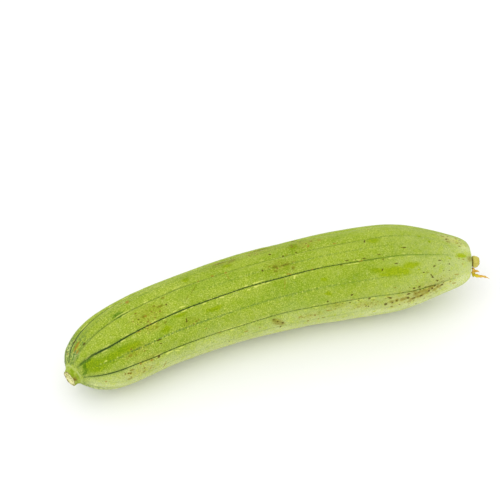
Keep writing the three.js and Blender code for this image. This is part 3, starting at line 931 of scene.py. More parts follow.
    def lines(self) -> Socket:
        """Draws the dark lines and the faint ones between them.

        Returns:
            The dark lines' mask.
        """
        distance, width, tone = self.parts(self.attribute("line"))
        wear = self.clouds(1300)
        beads = self.streaks(950, 300, 1)
        worn = self.math("ADD", distance, self.math("MULTIPLY_ADD", wear, 1.1, -0.55))
        line = self.fade(worn, self.math("ADD", width, 0.28), self.math("SUBTRACT", width, 0.22))
        broken = self.math("MULTIPLY_ADD", self.math("SUBTRACT", 1, tone), -1.3, 1.2)
        line = self.multiply(line, tone, self.fade(beads, 0.36, 0.6, broken, 1))
        halo = self.fade(distance, self.math("MULTIPLY_ADD", width, 3, 1), 0)
        halo = self.multiply(halo, tone, self.math("MULTIPLY_ADD", self.by_stalk, 0.45, 0.14))
        self.over(SKIN.haze, halo)
        self.shoulder_rays()
        half, half_tone = self.parts(self.attribute("half_line"))[:2]
        half = self.math("ADD", half, self.math("MULTIPLY_ADD", wear, 2, -1))
        faint = self.multiply(self.fade(half, 1.2, 0.1), half_tone, self.fade(beads, 0.38, 0.6, 0.25, 1))
        self.over(SKIN.haze, self.multiply(faint, 1.5))
        ink = self.mix(SKIN.line, SKIN.fresh_line, self.fade(self.station, *self.fresh_lines))
        self.over(ink, self.math("MINIMUM", line, 0.93))
        return line

    def shoulder_rays(self) -> None:
        """Hazes the shoulder by the stalk with dark rays, which are faint where the fruit faces forward."""
        rays = self.streaks(60, 900, 3)
        shoulder = self.multiply(self.fade(rays, 0.4, 0.62), self.fade(self.by_stalk, 0.6, 1, 0, 0.85))
        shoulder = self.multiply(shoulder, self.fade(self.facing(0.94, 0.34), 0.85, 0.4, 0.08, 1))
        self.over(SKIN.haze, shoulder)

    def dashes(self) -> None:
        """Lays short pale dashes beside the lines, and pale dots on the faint lines between them."""
        distance, _, tone = self.parts(self.attribute("line"))
        half, half_tone = self.parts(self.attribute("half_line"))[:2]
        runs = self.streaks(170, 240)
        beside = self.multiply(self.fade(distance, 1.9, 1.3), self.fade(distance, 0.6, 0.95), tone)
        dash = self.multiply(beside, self.fade(runs, 0.55, 0.63))
        dots, chance = self.dots(520, 0.6)
        dotted = self.multiply(self.fade(half, 1.9, 0.8), half_tone, self.fade(dots, 0.42, 0.22), 2)
        dotted = self.multiply(dotted, self.fade(chance, 0, 1, 0.5, 1))
        self.over(SKIN.speck, self.math("MINIMUM", self.math("MAXIMUM", dash, dotted), 0.85))

    def pepper(self, where: Socket) -> None:
        """Peppers the skin with small brown spots.

        Args:
            where: How much a place is peppered, from 0 to 1.
        """
        spots, chance = self.dots(1, 0.75, self.stretched(330, 660))
        worn = self.math("ADD", spots, self.multiply(self.clouds(1100, place=self.straight), 0.3))
        size = self.math("MULTIPLY_ADD", chance, 0.22, 0.2)
        spot = self.fade(worn, self.math("ADD", size, 0.12), size)
        shown = self.multiply(spot, self.fade(where, 0.05, 0.6), self.fade(chance, 0, 1, 0.5, 1))
        self.over(SKIN.brown, shown)

    def hidden_marks(self) -> None:
        """Strews bright patches and brown flecks over the side that the listed marks leave bare."""
        hidden = self.fade(self.toward(0.67, 0.74), 0.002, -0.007)
        patch = self.multiply(self.fade(self.streaks(45, 120, 3, 0.6), 0.6, 0.66), hidden, 0.75)
        self.over(SKIN.bright_tint, patch, "MULTIPLY")
        spots, chance = self.dots(1, 0.4, self.stretched(90, 170))
        worn = self.math("ADD", spots, self.multiply(self.clouds(900, place=self.straight), 0.16))
        size = self.math("MULTIPLY_ADD", chance, 0.15, 0.04)
        fleck = self.fade(worn, self.math("ADD", size, 0.12), self.math("ADD", size, 0.05))
        tint = self.mix(SKIN.rust, SKIN.fleck, self.fade(chance, 0.4, 0.6))
        self.over(tint, self.multiply(fleck, hidden, 0.8))


@dataclass(frozen=True)
class StalkFinish:
    """The stalk's stub: smooth light green, with a pale fibrous cut face."""

    green: Colour = srgb(142, 162, 34)
    pale_green: Colour = srgb(160, 178, 70)
    ridge: Colour = srgb(186, 198, 122)
    bright: Colour = srgb(122, 148, 0)
    flesh: Colour = srgb(222, 220, 158)
    fibre: Colour = srgb(150, 152, 52)
    bruise: Colour = srgb(104, 76, 24)

    def material(self) -> bpy.types.Material:
        """Paints the stub's green side, then the pale cut over it.

        Returns:
            The finished material.
        """
        graph = ShaderGraph("green_stalk")
        face, beside = graph.parts(graph.attribute("cut"))[:2]
        streaks = graph.streaks(90, 700, 3)
        blotch = graph.clouds(230)
        spots = graph.clouds(620, 3, 0.6)

        graph.colour = graph.mix(self.green, self.pale_green, graph.fade(streaks, 0.35, 0.65))
        graph.over(self.bright, graph.fade(blotch, 0.5, 0.66, 0, 0.9))
        smear = graph.multiply(graph.fade(blotch, 0.36, 0.52), graph.fade(spots, 0.34, 0.5, 0.4, 0.9))
        graph.over(self.bruise, graph.multiply(beside, smear))
        x = graph.parts(graph.straight)[0]
        ridge = graph.multiply(graph.fade(x, -0.0009, 0), graph.fade(x, 0.0014, 0.0002))
        graph.over(self.ridge, graph.multiply(ridge, graph.fade(blotch, 0.35, 0.65, 0.1, 0.6)))

        pith = graph.mix(self.flesh, self.fibre, graph.fade(spots, 0.45, 0.6, 0, 0.9))
        rim = graph.fade(graph.radius(), 0.004, 0.0055)
        rim = graph.multiply(rim, graph.fade(spots, 0.36, 0.56, 0.2, 0.9))
        pith = graph.mix(pith, self.bruise, rim)
        pith = graph.mix(pith, self.bruise, graph.fade(graph.clouds(900, 1), 0.62, 0.72, 0, 0.7))
        graph.over(pith, graph.fade(face, 0.35, 0.65))
        height = graph.math("ADD", graph.clouds(1500, 3), graph.multiply(streaks, 0.6))
        return graph.finish(height, 0.00015, Roughness=0.5, Specular_IOR_Level=0.12)


@dataclass(frozen=True)
class DryFinish:
    """A dried part of the flower: wrinkled and matte, darker in its folds, with a colour of its own at its
    root: fresher on the sepals, and on the knob a darker brown, which is painted shade where its neck sinks
    into the fruit's dimple.

    Attributes:
        name: The material's name.
        root: The colour where it leaves the fruit.
        middle: The colour of most of it.
        tip: The colour of its far end.
        fold: The colour in its folds.
        root_reach: Where its root's colour ends, as a share of its length.
    """

    name: str
    root: Colour
    middle: Colour
    tip: Colour
    fold: Colour
    root_reach: float

    def material(self) -> bpy.types.Material:
        """Paints the piece by how far out each of its points is, which the mesh holds.

        Returns:
            The finished material.
        """
        graph = ShaderGraph(self.name)
        grain = graph.clouds(900, 3, 0.6)
        out = graph.parts(graph.attribute("out"))[0]
        out = graph.math("ADD", out, graph.math("MULTIPLY_ADD", grain, 0.3, -0.15))
        past_root = graph.fade(out, self.root_reach / 3, self.root_reach)
        graph.colour = graph.mix(self.root, self.middle, past_root)
        graph.over(self.tip, graph.fade(out, 0.55, 0.95))
        graph.over(self.fold, graph.fade(graph.clouds(420), 0.55, 0.75, 0, 0.65))
        height = graph.math("ADD", grain, graph.clouds(2400))
        return graph.finish(height, 0.0002, Roughness=0.7, Specular_IOR_Level=0.3, Sheen_Weight=0.1)


# The knob's darker brown root is painted shade, where its neck sinks into the fruit's dimple
KNOB_FINISH = DryFinish(
    "dried_knob", root=srgb(150, 128, 58), middle=srgb(206, 195, 92), tip=srgb(190, 179, 66),
    fold=srgb(156, 132, 46), root_reach=0.16,
)
SEPAL_FINISH = DryFinish(
    "dried_sepals", root=srgb(212, 196, 18), middle=srgb(222, 180, 72), tip=srgb(216, 182, 98),
    fold=srgb(180, 112, 24), root_reach=0.4,
)


@dataclass
class LathePiece:
    """A piece that is spun round a straight axis and then bent to its place, point by point.

    Attributes:
        name: The piece's name.
        node: The solid that it replaces.
        slot: The record's material slot, which is not used.
        sides: How many sides it is spun with.
    """

    name: str
    node: str
    slot: str
    sides: int

    def outline(self) -> Pairs:
        """The outline that is spun: millimetres along the axis, then radius."""
        raise NotImplementedError

    def place(self, vertex: bmesh.types.BMVert, station: float, radius: float, side: int) -> Vector:
        """Where a point of the straight piece goes.

        Args:
            vertex: The point, for the values that it keeps.
            station: Its place along the axis, in millimetres.
            radius: Its distance from the axis, in millimetres.
            side: The number of its side, from 0.

        Returns:
            The point's place, in metres.
        """
        raise NotImplementedError

    def shape(self) -> bmesh.types.BMesh:
        """Spins the outline and bends it to its place.

        Returns:
            The finished shape.
        """
        mesh = bmesh.new()
        points = [mesh.verts.new((station, radius, 0)) for station, radius in self.outline()]
        lines = [mesh.edges.new(ends) for ends in zip(points, points[1:])]
        bmesh.ops.spin(
            mesh, geom=[*points, *lines], axis=(1, 0, 0), cent=(0, 0, 0), dvec=(0, 0, 0), angle=math.tau,
            steps=self.sides, use_merge=True, use_duplicate=False,
        )
        bmesh.ops.remove_doubles(mesh, verts=mesh.verts, dist=TINY)
        straight = mesh.verts.layers.float_vector.new("straight")
        self.add_layers(mesh)
        for vertex in mesh.verts:
            station, y, z = vertex.co
            station = round(station, 3)
            radius = math.hypot(y, z)
            side = round(math.atan2(z, y) / math.tau * self.sides) % self.sides
            vertex[straight] = vertex.co * MM
            vertex.co = self.place(vertex, station, radius, side)
        bmesh.ops.recalc_face_normals(mesh, faces=mesh.faces)
        return mesh

    def add_layers(self, mesh: bmesh.types.BMesh) -> None:
        """Adds what else the piece's points keep for its material."""

    def build(self, mesh: bmesh.types.BMesh, material: bpy.types.Material) -> bpy.types.Object:
        """Makes the object and ties it to the frame.

        Args:
            mesh: The finished shape.
            material: Its finish.

        Returns:
            The piece.
        """
        return add_piece(self.name, mesh, material, self.node)


def add_piece(
    name: str, mesh: bmesh.types.BMesh, material: bpy.types.Material, node: str
) -> bpy.types.Object:
    """Makes an object of a shape, smooth shaded, which rides on the body and replaces a solid.

    Args:
        name: The piece's name.
        mesh: Its shape, which is freed.
        material: Its finish.
        node: The solid that it replaces.

    Returns:
        The piece.
    """
    for face in mesh.faces:
        face.smooth = True
    data = bpy.data.meshes.new(name)
    mesh.to_mesh(data)
    mesh.free()
    data.materials.append(material)
    piece = bpy.data.objects.new(name, data)
    bpy.context.scene.collection.objects.link(piece)
    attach(piece, BODY)
    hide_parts(node)
    log.info("%s: %d points, %d faces", name, len(data.vertices), len(data.polygons))
    return piece


@dataclass
class FruitSkin(LathePiece):
    """The whole fruit: a bowed lathe with ten grooves, soft lumps and a dimple at its flower end.

    Attributes:
        ring_spacing: The distance between two rings of its points, in millimetres, as all its lengths are.
        lobe_rise: How far the lobes between the grooves rise.
        groove_depth: How deep the grooves are, and by the stalk.
        groove_half_width: Half their width, and by the stalk.
        stalk_length: How far along the fruit the stalk's end reaches.
        lump_depth: How deep the soft hollows are.
        lump_size: How long and wide they are.
        ripple_depth: How deep the ripples on them are.
        ripple_size: How long and wide those are.
        grain_depth: How deep the finest unevenness is.
        grain_size: How long and wide that is.
        dimple: The outline's last points, in the flower's dimple.
        sides_pull: How strongly the points crowd towards the grooves.
        seam_groove: The groove, on the hidden side, that the unrolled skin is cut along.
        wander: How far the grooves stray from their angles, in degrees.
        wander_length: The length of one such bend.
        wander_gap: How far apart two grooves are read in the noise.
    """

    name: str = "gourd_fruit"
    node: str = "fruit"
    slot: str = "fruit_skin"
    sides: int = 220
    ring_spacing: float = 0.8
    lobe_rise: float = 0.7
    groove_depth: Span = (0.4, 1.2)
    groove_half_width: Span = (1.1, 2.2)
    stalk_length: float = 31.0
    lump_depth: float = 0.55
    lump_size: Span = (38, 22)
    ripple_depth: float = 0.14
    ripple_size: Span = (13, 8)
    grain_depth: float = 0.05
    grain_size: Span = (3.1, 3.1)
    dimple: Pairs = ((309.4, 5.2), (308.6, 3.4), (307.9, 1.6), (307.8, 0))
    sides_pull: float = 0.6
    seam_groove: int = 7
    wander: float = 0.9
    wander_length: float = 30.0
    wander_gap: float = 7.3

    def outline(self) -> Pairs:
        """The smooth outline from the stalk end to the bottom of the flower's dimple."""
        curve = evenly_spaced(catmull_rom(FRUIT_OUTLINE, 24), self.ring_spacing)
        return [(0, 0), (0, 3), (0, 6), *curve, *self.dimple]

    def add_layers(self, mesh: bmesh.types.BMesh) -> None:
        """Adds the values that draw the lines, and the turn that unrolls the skin.

        Args:
            mesh: The straight lathe.
        """
        self.line = mesh.verts.layers.float_vector.new("line")
        self.half_line = mesh.verts.layers.float_vector.new("half_line")
        self.turn = mesh.verts.layers.float.new("turn")

    def groove_angle(self, number: int, station: float) -> float:
        """The angle of a groove's bottom at a station, in degrees, with a small wander of its own."""
        wander = noise.noise(Vector((station / self.wander_length, number * self.wander_gap, 0)))
        return along_points(GROOVE_LINES[number].angle, station) + self.wander * wander

    def place(self, vertex: bmesh.types.BMVert, station: float, radius: float, side: int) -> Vector:
        """Where a point of the skin goes. It keeps how far it is from the lines as well.

        Args:
            vertex: The point.
            station: Its place along the fruit, in millimetres.
            radius: Its distance from the axis, in millimetres.
            side: The number of its side.

        Returns:
            The point's place, in metres.
        """
        count = len(GROOVE_LINES)
        gap_sides = self.sides // count
        groove, step = divmod(side, gap_sides)
        share = step / gap_sides
        share -= self.sides_pull * math.sin(math.tau * share) / math.tau
        following = (groove + 1) % count
        start = self.groove_angle(groove, station)
        end = self.groove_angle(following, station) + (0 if following else 360)
        turn = math.radians(lerp(start, end, share))
        gap = math.radians(end - start)

        nearer = GROOVE_LINES[groove if share < 0.5 else following]
        vertex[self.line] = (
            min(share, 1 - share) * gap * radius,
            along_points(nearer.width, station),
            along_points(nearer.tone, station) * smooth(0.5, 0.3, min(share, 1 - share)),
        )
        between = along_points(GROOVE_LINES[groove].between, station) * math.sin(math.pi * share)
        vertex[self.half_line] = (abs(share - 0.5) * gap * radius, between, 0)
        seam = math.radians(GROOVE_LINES[self.seam_groove].angle[0][1])
        vertex[self.turn] = (turn - seam) / math.tau % 1

        rise = self.relief(station, radius, share, gap) - self.lumps(vertex.co.copy(), station)
        axis_share = station / FRUIT_LENGTH
        point = FRUIT_AXIS.point_round(axis_share, (radius + rise * min(radius / 6, 1)) * MM, turn)
        point += stalk_lean(station)
        point.z = max(point.z, 0.0)
        return point

    def relief(self, station: float, radius: float, share: float, gap: float) -> float:
        """How far the skin stands off its outline: broad lobes and narrow grooves.

        Args:
            station: A place along the fruit, in millimetres.
            radius: The outline's radius there, in millimetres.
            share: The share of the way from one groove to the next.
            gap: The angle between the two, in radians.

        Returns:
            The rise, in millimetres.
        """
        by_stalk = math.exp(-((station / self.stalk_length) ** 2))
        depth = lerp(*self.groove_depth, by_stalk)
        half_width = lerp(*self.groove_half_width, by_stalk)
        groove = math.exp(-((min(share, 1 - share) * gap * radius / half_width) ** 2))
        lobe = math.sin(math.pi * share) - 0.5
        return radius / FULL_RADIUS * (self.lobe_rise * lobe - depth * groove)

    def lumps(self, point: Vector, station: float) -> float:
        """How deep the soft hollows and ripples are.

        Args:
            point: A point of the straight fruit, in millimetres.
            station: Its place along the fruit, in millimetres.

        Returns:
            The depth, in millimetres.
        """
        broad = lump_noise(point, self.lump_size, (0, 0, 0))
        middling = lump_noise(point, self.ripple_size, (5, 9, 2))
        fine = lump_noise(point, self.grain_size, (3, 1, 7))
        hollow = self.lump_depth * smooth(-0.6, 0.6, broad) + self.ripple_depth * (middling + 1)
        return (hollow + self.grain_depth * (fine + 1)) * smooth(1, 16, station)

    def unroll(self, mesh: bmesh.types.BMesh) -> None:
        """Gives the skin its UV map: the share of the length, then the turn round from the seam.

        Args:
            mesh: The finished shape.
        """
        layer = mesh.loops.layers.uv.new("skin")
        straight = mesh.verts.layers.float_vector["straight"]
        for face in mesh.faces:
            turns = [loop.vert[self.turn] for loop in face.loops]
            across_seam = max(turns) - min(turns) > 0.5
            for loop, turn in zip(face.loops, turns):
                if math.hypot(*loop.vert[straight].yz) < MM / 10:
                    turn = sum(turns) / len(turns)
                share = loop.vert[straight].x / (FRUIT_LENGTH * MM)
                loop[layer].uv = (share, turn + 1 if across_seam and turn < 0.5 else turn)


@dataclass(frozen=True)
class PhotoCamera:
    """The camera, at the picture's viewing angle.

    Attributes:
        azimuth: Where it stands round the object, in degrees: 0 looks along +Y.
        elevation: How high it stands, in degrees above level.
        distance: How far it is from its target, in metres.
        lens: Its focal length, in millimetres.
        target: The point that it looks at.
        sensor: The width of its film, in millimetres.
    """

    azimuth: float = -19.67
    elevation: float = 48.0
    distance: float = 1.1435
    lens: float = 110.0
    target: tuple[float, float, float] = (0.00202, 0.04222, 0.032)
    sensor: float = 36.0

    @cached_property
    def axes(self) -> tuple[Vector, Vector, Vector]:
        """The camera's directions.

        Returns:
            To its right, up, and back towards it.
        """
        turn, lift = math.radians(self.azimuth), math.radians(self.elevation)
        back = Vector((math.sin(turn) * math.cos(lift), -math.cos(turn) * math.cos(lift), math.sin(lift)))
        right = Vector((math.cos(turn), math.sin(turn), 0))
        return right, back.cross(right), back

    @property
    def position(self) -> Vector:
        """Where the camera stands."""
        return Vector(self.target) + self.axes[2] * self.distance

    def ray(self, x: float, y: float) -> Vector:
        """The direction in which the camera sees a pixel of the picture.

        Args:
            x: Pixels from the picture's left edge.
            y: Pixels from the picture's top edge.

        Returns:
            The direction.
        """
        right, up, back = self.axes
        pixels = self.lens / self.sensor * PHOTO_SIZE
        middle = PHOTO_SIZE / 2
        return (right * ((x - middle) / pixels) - up * ((y - middle) / pixels) - back).normalized()

    def build(self) -> bpy.types.Object:
        """Adds the camera to the scene and makes it the scene's own.

        Returns:
            The camera.
        """
        data = bpy.data.cameras.new("camera")
        data.lens = self.lens
        data.sensor_width = self.sensor
        data.dof.use_dof = False
        camera = bpy.data.objects.new("camera", data)
        bpy.context.scene.collection.objects.link(camera)
        camera.matrix_world = Matrix.Translation(self.position) @ Matrix(self.axes).transposed().to_4x4()
        bpy.context.scene.camera = camera
        return camera


class MarkPlacer:
    """Finds where marks that are placed in the picture lie on the unrolled skin.

    Attributes:
        most_stretch: The most millimetres of skin for one pixel of a mark, near the fruit's edge.
    """

    most_stretch: float = 1.7

    def __init__(self, mesh: bmesh.types.BMesh, camera: PhotoCamera) -> None:
        """Readies the skin for rays from the camera.

        Args:
            mesh: The skin's shape, already unrolled.
            camera: The picture's camera.
        """
        mesh.faces.ensure_lookup_table()
        self.mesh = mesh
        self.camera = camera
        self.tree = BVHTree.FromBMesh(mesh)
        self.layer = mesh.loops.layers.uv["skin"]

    def seen(self, x: float, y: float) -> Vector | None:
        """The place on the unrolled skin that a pixel shows.

        Args:
            x: Pixels from the picture's left edge.
            y: Pixels from the picture's top edge.

        Returns:
            The place, in millimetres, or None off the fruit.
        """
        hit, _, index, _ = self.tree.ray_cast(self.camera.position, self.camera.ray(x, y))
        if hit is None:
            return None
        loops = self.mesh.faces[index].loops
        shares = poly_3d_calc([loop.vert.co for loop in loops], hit)
        share, turn = (sum(s * loop[self.layer].uv[k] for s, loop in zip(shares, loops)) for k in (0, 1))
        return Vector((share * FRUIT_LENGTH, turn * math.tau * FULL_RADIUS))

    def ellipse(self, mark: Mark) -> Ellipse | None:
        """The mark's shape on the unrolled skin.

        Args:
            mark: The mark, as the picture shows it.

        Returns:
            Its ellipse, or None where the picture doesn't show it on the fruit.
        """
        middle = self.seen(mark.x, mark.y)
        heading = math.radians(mark.heading)
        ahead = self.seen(mark.x + math.cos(heading), mark.y - math.sin(heading))
        aside = self.seen(mark.x + math.sin(heading), mark.y + math.cos(heading))
        if not middle or not ahead or not aside:
            return None
        along = ahead - middle
        across = aside - middle
        turn = math.atan2(along.y, along.x)
        width = abs(along.x * across.y - along.y * across.x) / along.length
        reach = min(along.length, self.most_stretch) * mark.length / 2
        return Ellipse(tuple(middle), reach, min(width, self.most_stretch) * mark.width / 2, turn)

    def place(self, marks: Iterable[Mark]) -> dict[MarkKind, list[Ellipse]]:
        """Places every mark.

        Args:
            marks: The marks, as the picture shows them.

        Returns:
            Their shapes on the unrolled skin, by kind.
        """
        placed: dict[MarkKind, list[Ellipse]] = {kind: [] for kind in MarkKind}
        for mark in marks:
            ellipse = self.ellipse(mark)
            if ellipse is None:
                log.warning("no skin at the %s at %.1f, %.1f", mark.kind.value, mark.x, mark.y)
            else:
                placed[mark.kind].append(ellipse)
        return placed


@dataclass
class StalkStub(LathePiece):
    """The stub of the stalk: five-angled, flared out of the fruit, with a hollowed fibrous cut.

    Attributes:
        length: Its length, in millimetres, as all its lengths are.
        turn_out: How far its outer half turns aside, in radians.
        droop: How far its outer half droops, in radians.
        cut_slopes: How the cut slants: length for each unit of radius, sideways and upwards.
        cut_out: How far the middle of the cut stands out.
        angles: How many angles it has.
        angle_rise: How far they rise.
        cut_radius: Its radius at the cut.
        face_radius: The radius of the cut's fibrous face.
        hollow: How deep that face is hollowed.
        rib_depth: How far its fine ribs stand out.
        fibre_depth: How deep the pits between the cut's fibres are.
        ragged_depth: How uneven the cut is towards its rim.
        bruise_turn: Where the bruise beside the cut lies, in radians round the axis.
        flare: The outline of its side.
        rim: The outline of the cut's rim.
    """

    name: str = "stalk_cut_stub"
    node: str = "stalk_stub"
    slot: str = "stalk"
    sides: int = 90
    length: float = 4.7
    turn_out: float = math.radians(4)
    droop: float = math.radians(8)
    cut_slopes: Span = (-0.15, -0.19)
    cut_out: float = 0.25
    angles: int = 5
    angle_rise: float = 0.35
    cut_radius: float = 5.65
    face_radius: float = 5.0
    hollow: float = 0.5
    rib_depth: float = 0.09
    fibre_depth: float = 0.16
    ragged_depth: float = 0.3
    bruise_turn: float = math.radians(165)
    flare: Pairs = (
        (-1, 9.45), (-0.5, 8.8), (0, 8.25), (0.5, 7.75), (1.1, 7.2), (1.9, 6.65), (2.9, 6.2), (3.8, 5.9),
        (4.4, 5.75),
    )
    rim: Pairs = ((4.58, 5.63), (4.68, 5.45), (4.69, 5.2))

    def outline(self) -> Pairs:
        """The outline that is spun.

        Returns:
            Its points from inside the fruit's end, over the flare and rim, to the middle of the cut.
        """
        side = evenly_spaced(catmull_rom(self.flare, 6), 0.22)
        radii = [self.face_radius * (1 - step / 22) for step in range(23)]
        face = [(4.62 - self.hollow * smooth(self.face_radius, 2.5, radius), radius) for radius in radii]
        return [(-1, 0), (-1, 5), *side, *self.rim, *face]

    def add_layers(self, mesh: bmesh.types.BMesh) -> None:
        """Adds how much each point belongs to the cut face, and to the bruise beside it."""
        self.cut = mesh.verts.layers.float_vector.new("cut")

    @cached_property
    def curve(self) -> Curve:
        """Bends the stub's own axis.

        Returns:
            The axis, out of the fruit, then turned and drooped a little.
        """
        point, along, _, _ = FRUIT_AXIS.directions(0.0)
        start = point + stalk_lean(0)
        out = -along
        turned = Matrix.Rotation(self.turn_out, 3, "Z") @ out
        last = (turned - Vector((0, 0, math.tan(self.droop)))).normalized()
        middle = start + out * (self.length / 2 * MM)
        end = middle + last * (self.length / 2 * MM)
        ends = start.lerp(middle, 2 / 3), end.lerp(middle, 2 / 3)
        return Curve(tuple(tuple(point) for point in (start, *ends, end)), steps=60)

    def place(self, vertex: bmesh.types.BMVert, station: float, radius: float, side: int) -> Vector:
        """Where a point of the stub goes, with its ribs and the ragged fibres of its cut.

        Args:
            vertex: The point.
            station: Its place along the axis, in millimetres.
            radius: Its distance from the axis, in millimetres.
            side: The number of its side.

        Returns:
            The point's place, in metres.
        """
        turn = side / self.sides * math.tau
        outer = smooth(2, 5.5, radius)
        face = smooth(4.5, 4.66, station) if radius > self.face_radius else float(station > 3)
        beside = smooth(0.9, 0.2, abs(turn - self.bruise_turn)) * smooth(1.8, 3.4, station)
        vertex[self.cut] = (face, beside, 0)
        out = max(station, 0) / self.length
        rise = self.angle_rise * math.cos(self.angles * turn) * radius / self.cut_radius * out
        ribs = self.rib_depth * ring_noise(station / 4, turn, 7)
        fibres = self.fibre_depth * noise.noise(Vector((0, vertex.co.y / 0.9, vertex.co.z / 0.9)))
        ragged = self.ragged_depth * ring_noise(9, turn, 3.5) * outer
        station -= face * (0.12 + abs(fibres) + abs(ragged))
        slope = self.cut_slopes[0] * math.cos(turn) + self.cut_slopes[1] * math.sin(turn)
        station += out * (self.cut_out + slope * radius)
        return self.curve.point_round(station / self.length, (radius + (rise + ribs) * outer) * MM, turn)


@dataclass
class FlowerKnob(LathePiece):
    """The dried knob of the flower: a wrinkled five-cornered button on a short neck, its end hollowed.

    Attributes:
        offset: How far it stands off the fruit's axis, in millimetres.
        offset_angle: In what direction, in radians round the axis.
        corners: How many corners it has.
        corner_rise: How far they stand out.
        fold_depth: How deep its folds are.
        crumple_depth: How deep its finer wrinkles are.
        pit_depth: How deep the pits in its end are.
        profile: Its outline, in millimetres.
    """

    name: str = "flower_button"
    node: str = "flower_knob"
    slot: str = "dried_knob"
    sides: int = 72
    offset: float = 0.6
    offset_angle: float = math.radians(-40)
    corners: int = 5
    corner_rise: float = 0.2
    fold_depth: float = 0.2
    crumple_depth: float = 0.12
    pit_depth: float = 0.3
    profile: Pairs = (
        (-1.4, 2.6), (0.2, 2.5), (0.7, 2.4), (0.95, 3), (1.1, 3.7), (1.5, 4.25), (2.2, 4.45), (3.2, 4.45),
        (4.2, 4.2), (5.1, 3.75), (5.9, 3.05), (6.45, 2.2), (6.45, 1.5), (6.2, 0.8), (6.1, 0),
    )

    def outline(self) -> Pairs:
        """The outline from the neck's root in the fruit's dimple to the middle of the far end."""
        return [(-1.4, 0), *evenly_spaced(catmull_rom(self.profile, 8), 0.2)]

    def add_layers(self, mesh: bmesh.types.BMesh) -> None:
        """Adds how far out each point is."""
        self.out = mesh.verts.layers.float_vector.new("out")

    def place(self, vertex: bmesh.types.BMVert, station: float, radius: float, side: int) -> Vector:
        """Where a point of the knob goes, with its wrinkles.

        Args:
            vertex: The point.
            station: Its place along the axis, in millimetres.
            radius: Its distance from the axis, in millimetres.
            side: The number of its side.

        Returns:
            The point's place, in metres.
        """
        turn = side / self.sides * math.tau
        vertex[self.out] = (smooth(0.8, 6.5, station) * 0.9 + 0.1 * smooth(2, 4.4, radius), 0, 0)
        outer = smooth(0.4, 3, radius)
        corner = self.corner_rise * math.cos(self.corners * turn + station)
        folds = self.fold_depth * ring_noise(station / 3, turn, 4)
        crumple = self.crumple_depth * ring_noise(station, turn, 9)
        pits = self.pit_depth * noise.noise(Vector((2, vertex.co.y / 1.4, vertex.co.z / 1.4)))
        sunk = abs(pits * smooth(4.8, 6, station))
        radius += (corner + folds - abs(crumple) - 0.05) * outer
        point, along, right, up = FRUIT_AXIS.directions(1.0)
        middle = point + FRUIT_AXIS.way_out(1.0, self.offset * MM, self.offset_angle)
        middle += along * ((station - sunk) * MM)
        return middle + (right * math.cos(turn) + up * math.sin(turn)) * (radius * MM)


@dataclass(frozen=True)
class Strip:
    """One withered strip: a flattened spindle along a smooth path that leaves the flower end.

    Attributes:
        path: Millimetres out from the fruit's end, then millimetres from the axis.
        width: Half its greatest width, in millimetres.
        thickness: Half its greatest thickness, in millimetres.
        curl: How far its edges curl out of its plane, in millimetres.
        lean: Where it is fullest: less than 1 is nearer to its root.
        dryness: How far its colour is from fresh to dry at its root and at its tip.
    """

    path: Pairs
    width: float
    thickness: float
    curl: float
    lean: float
    dryness: Span


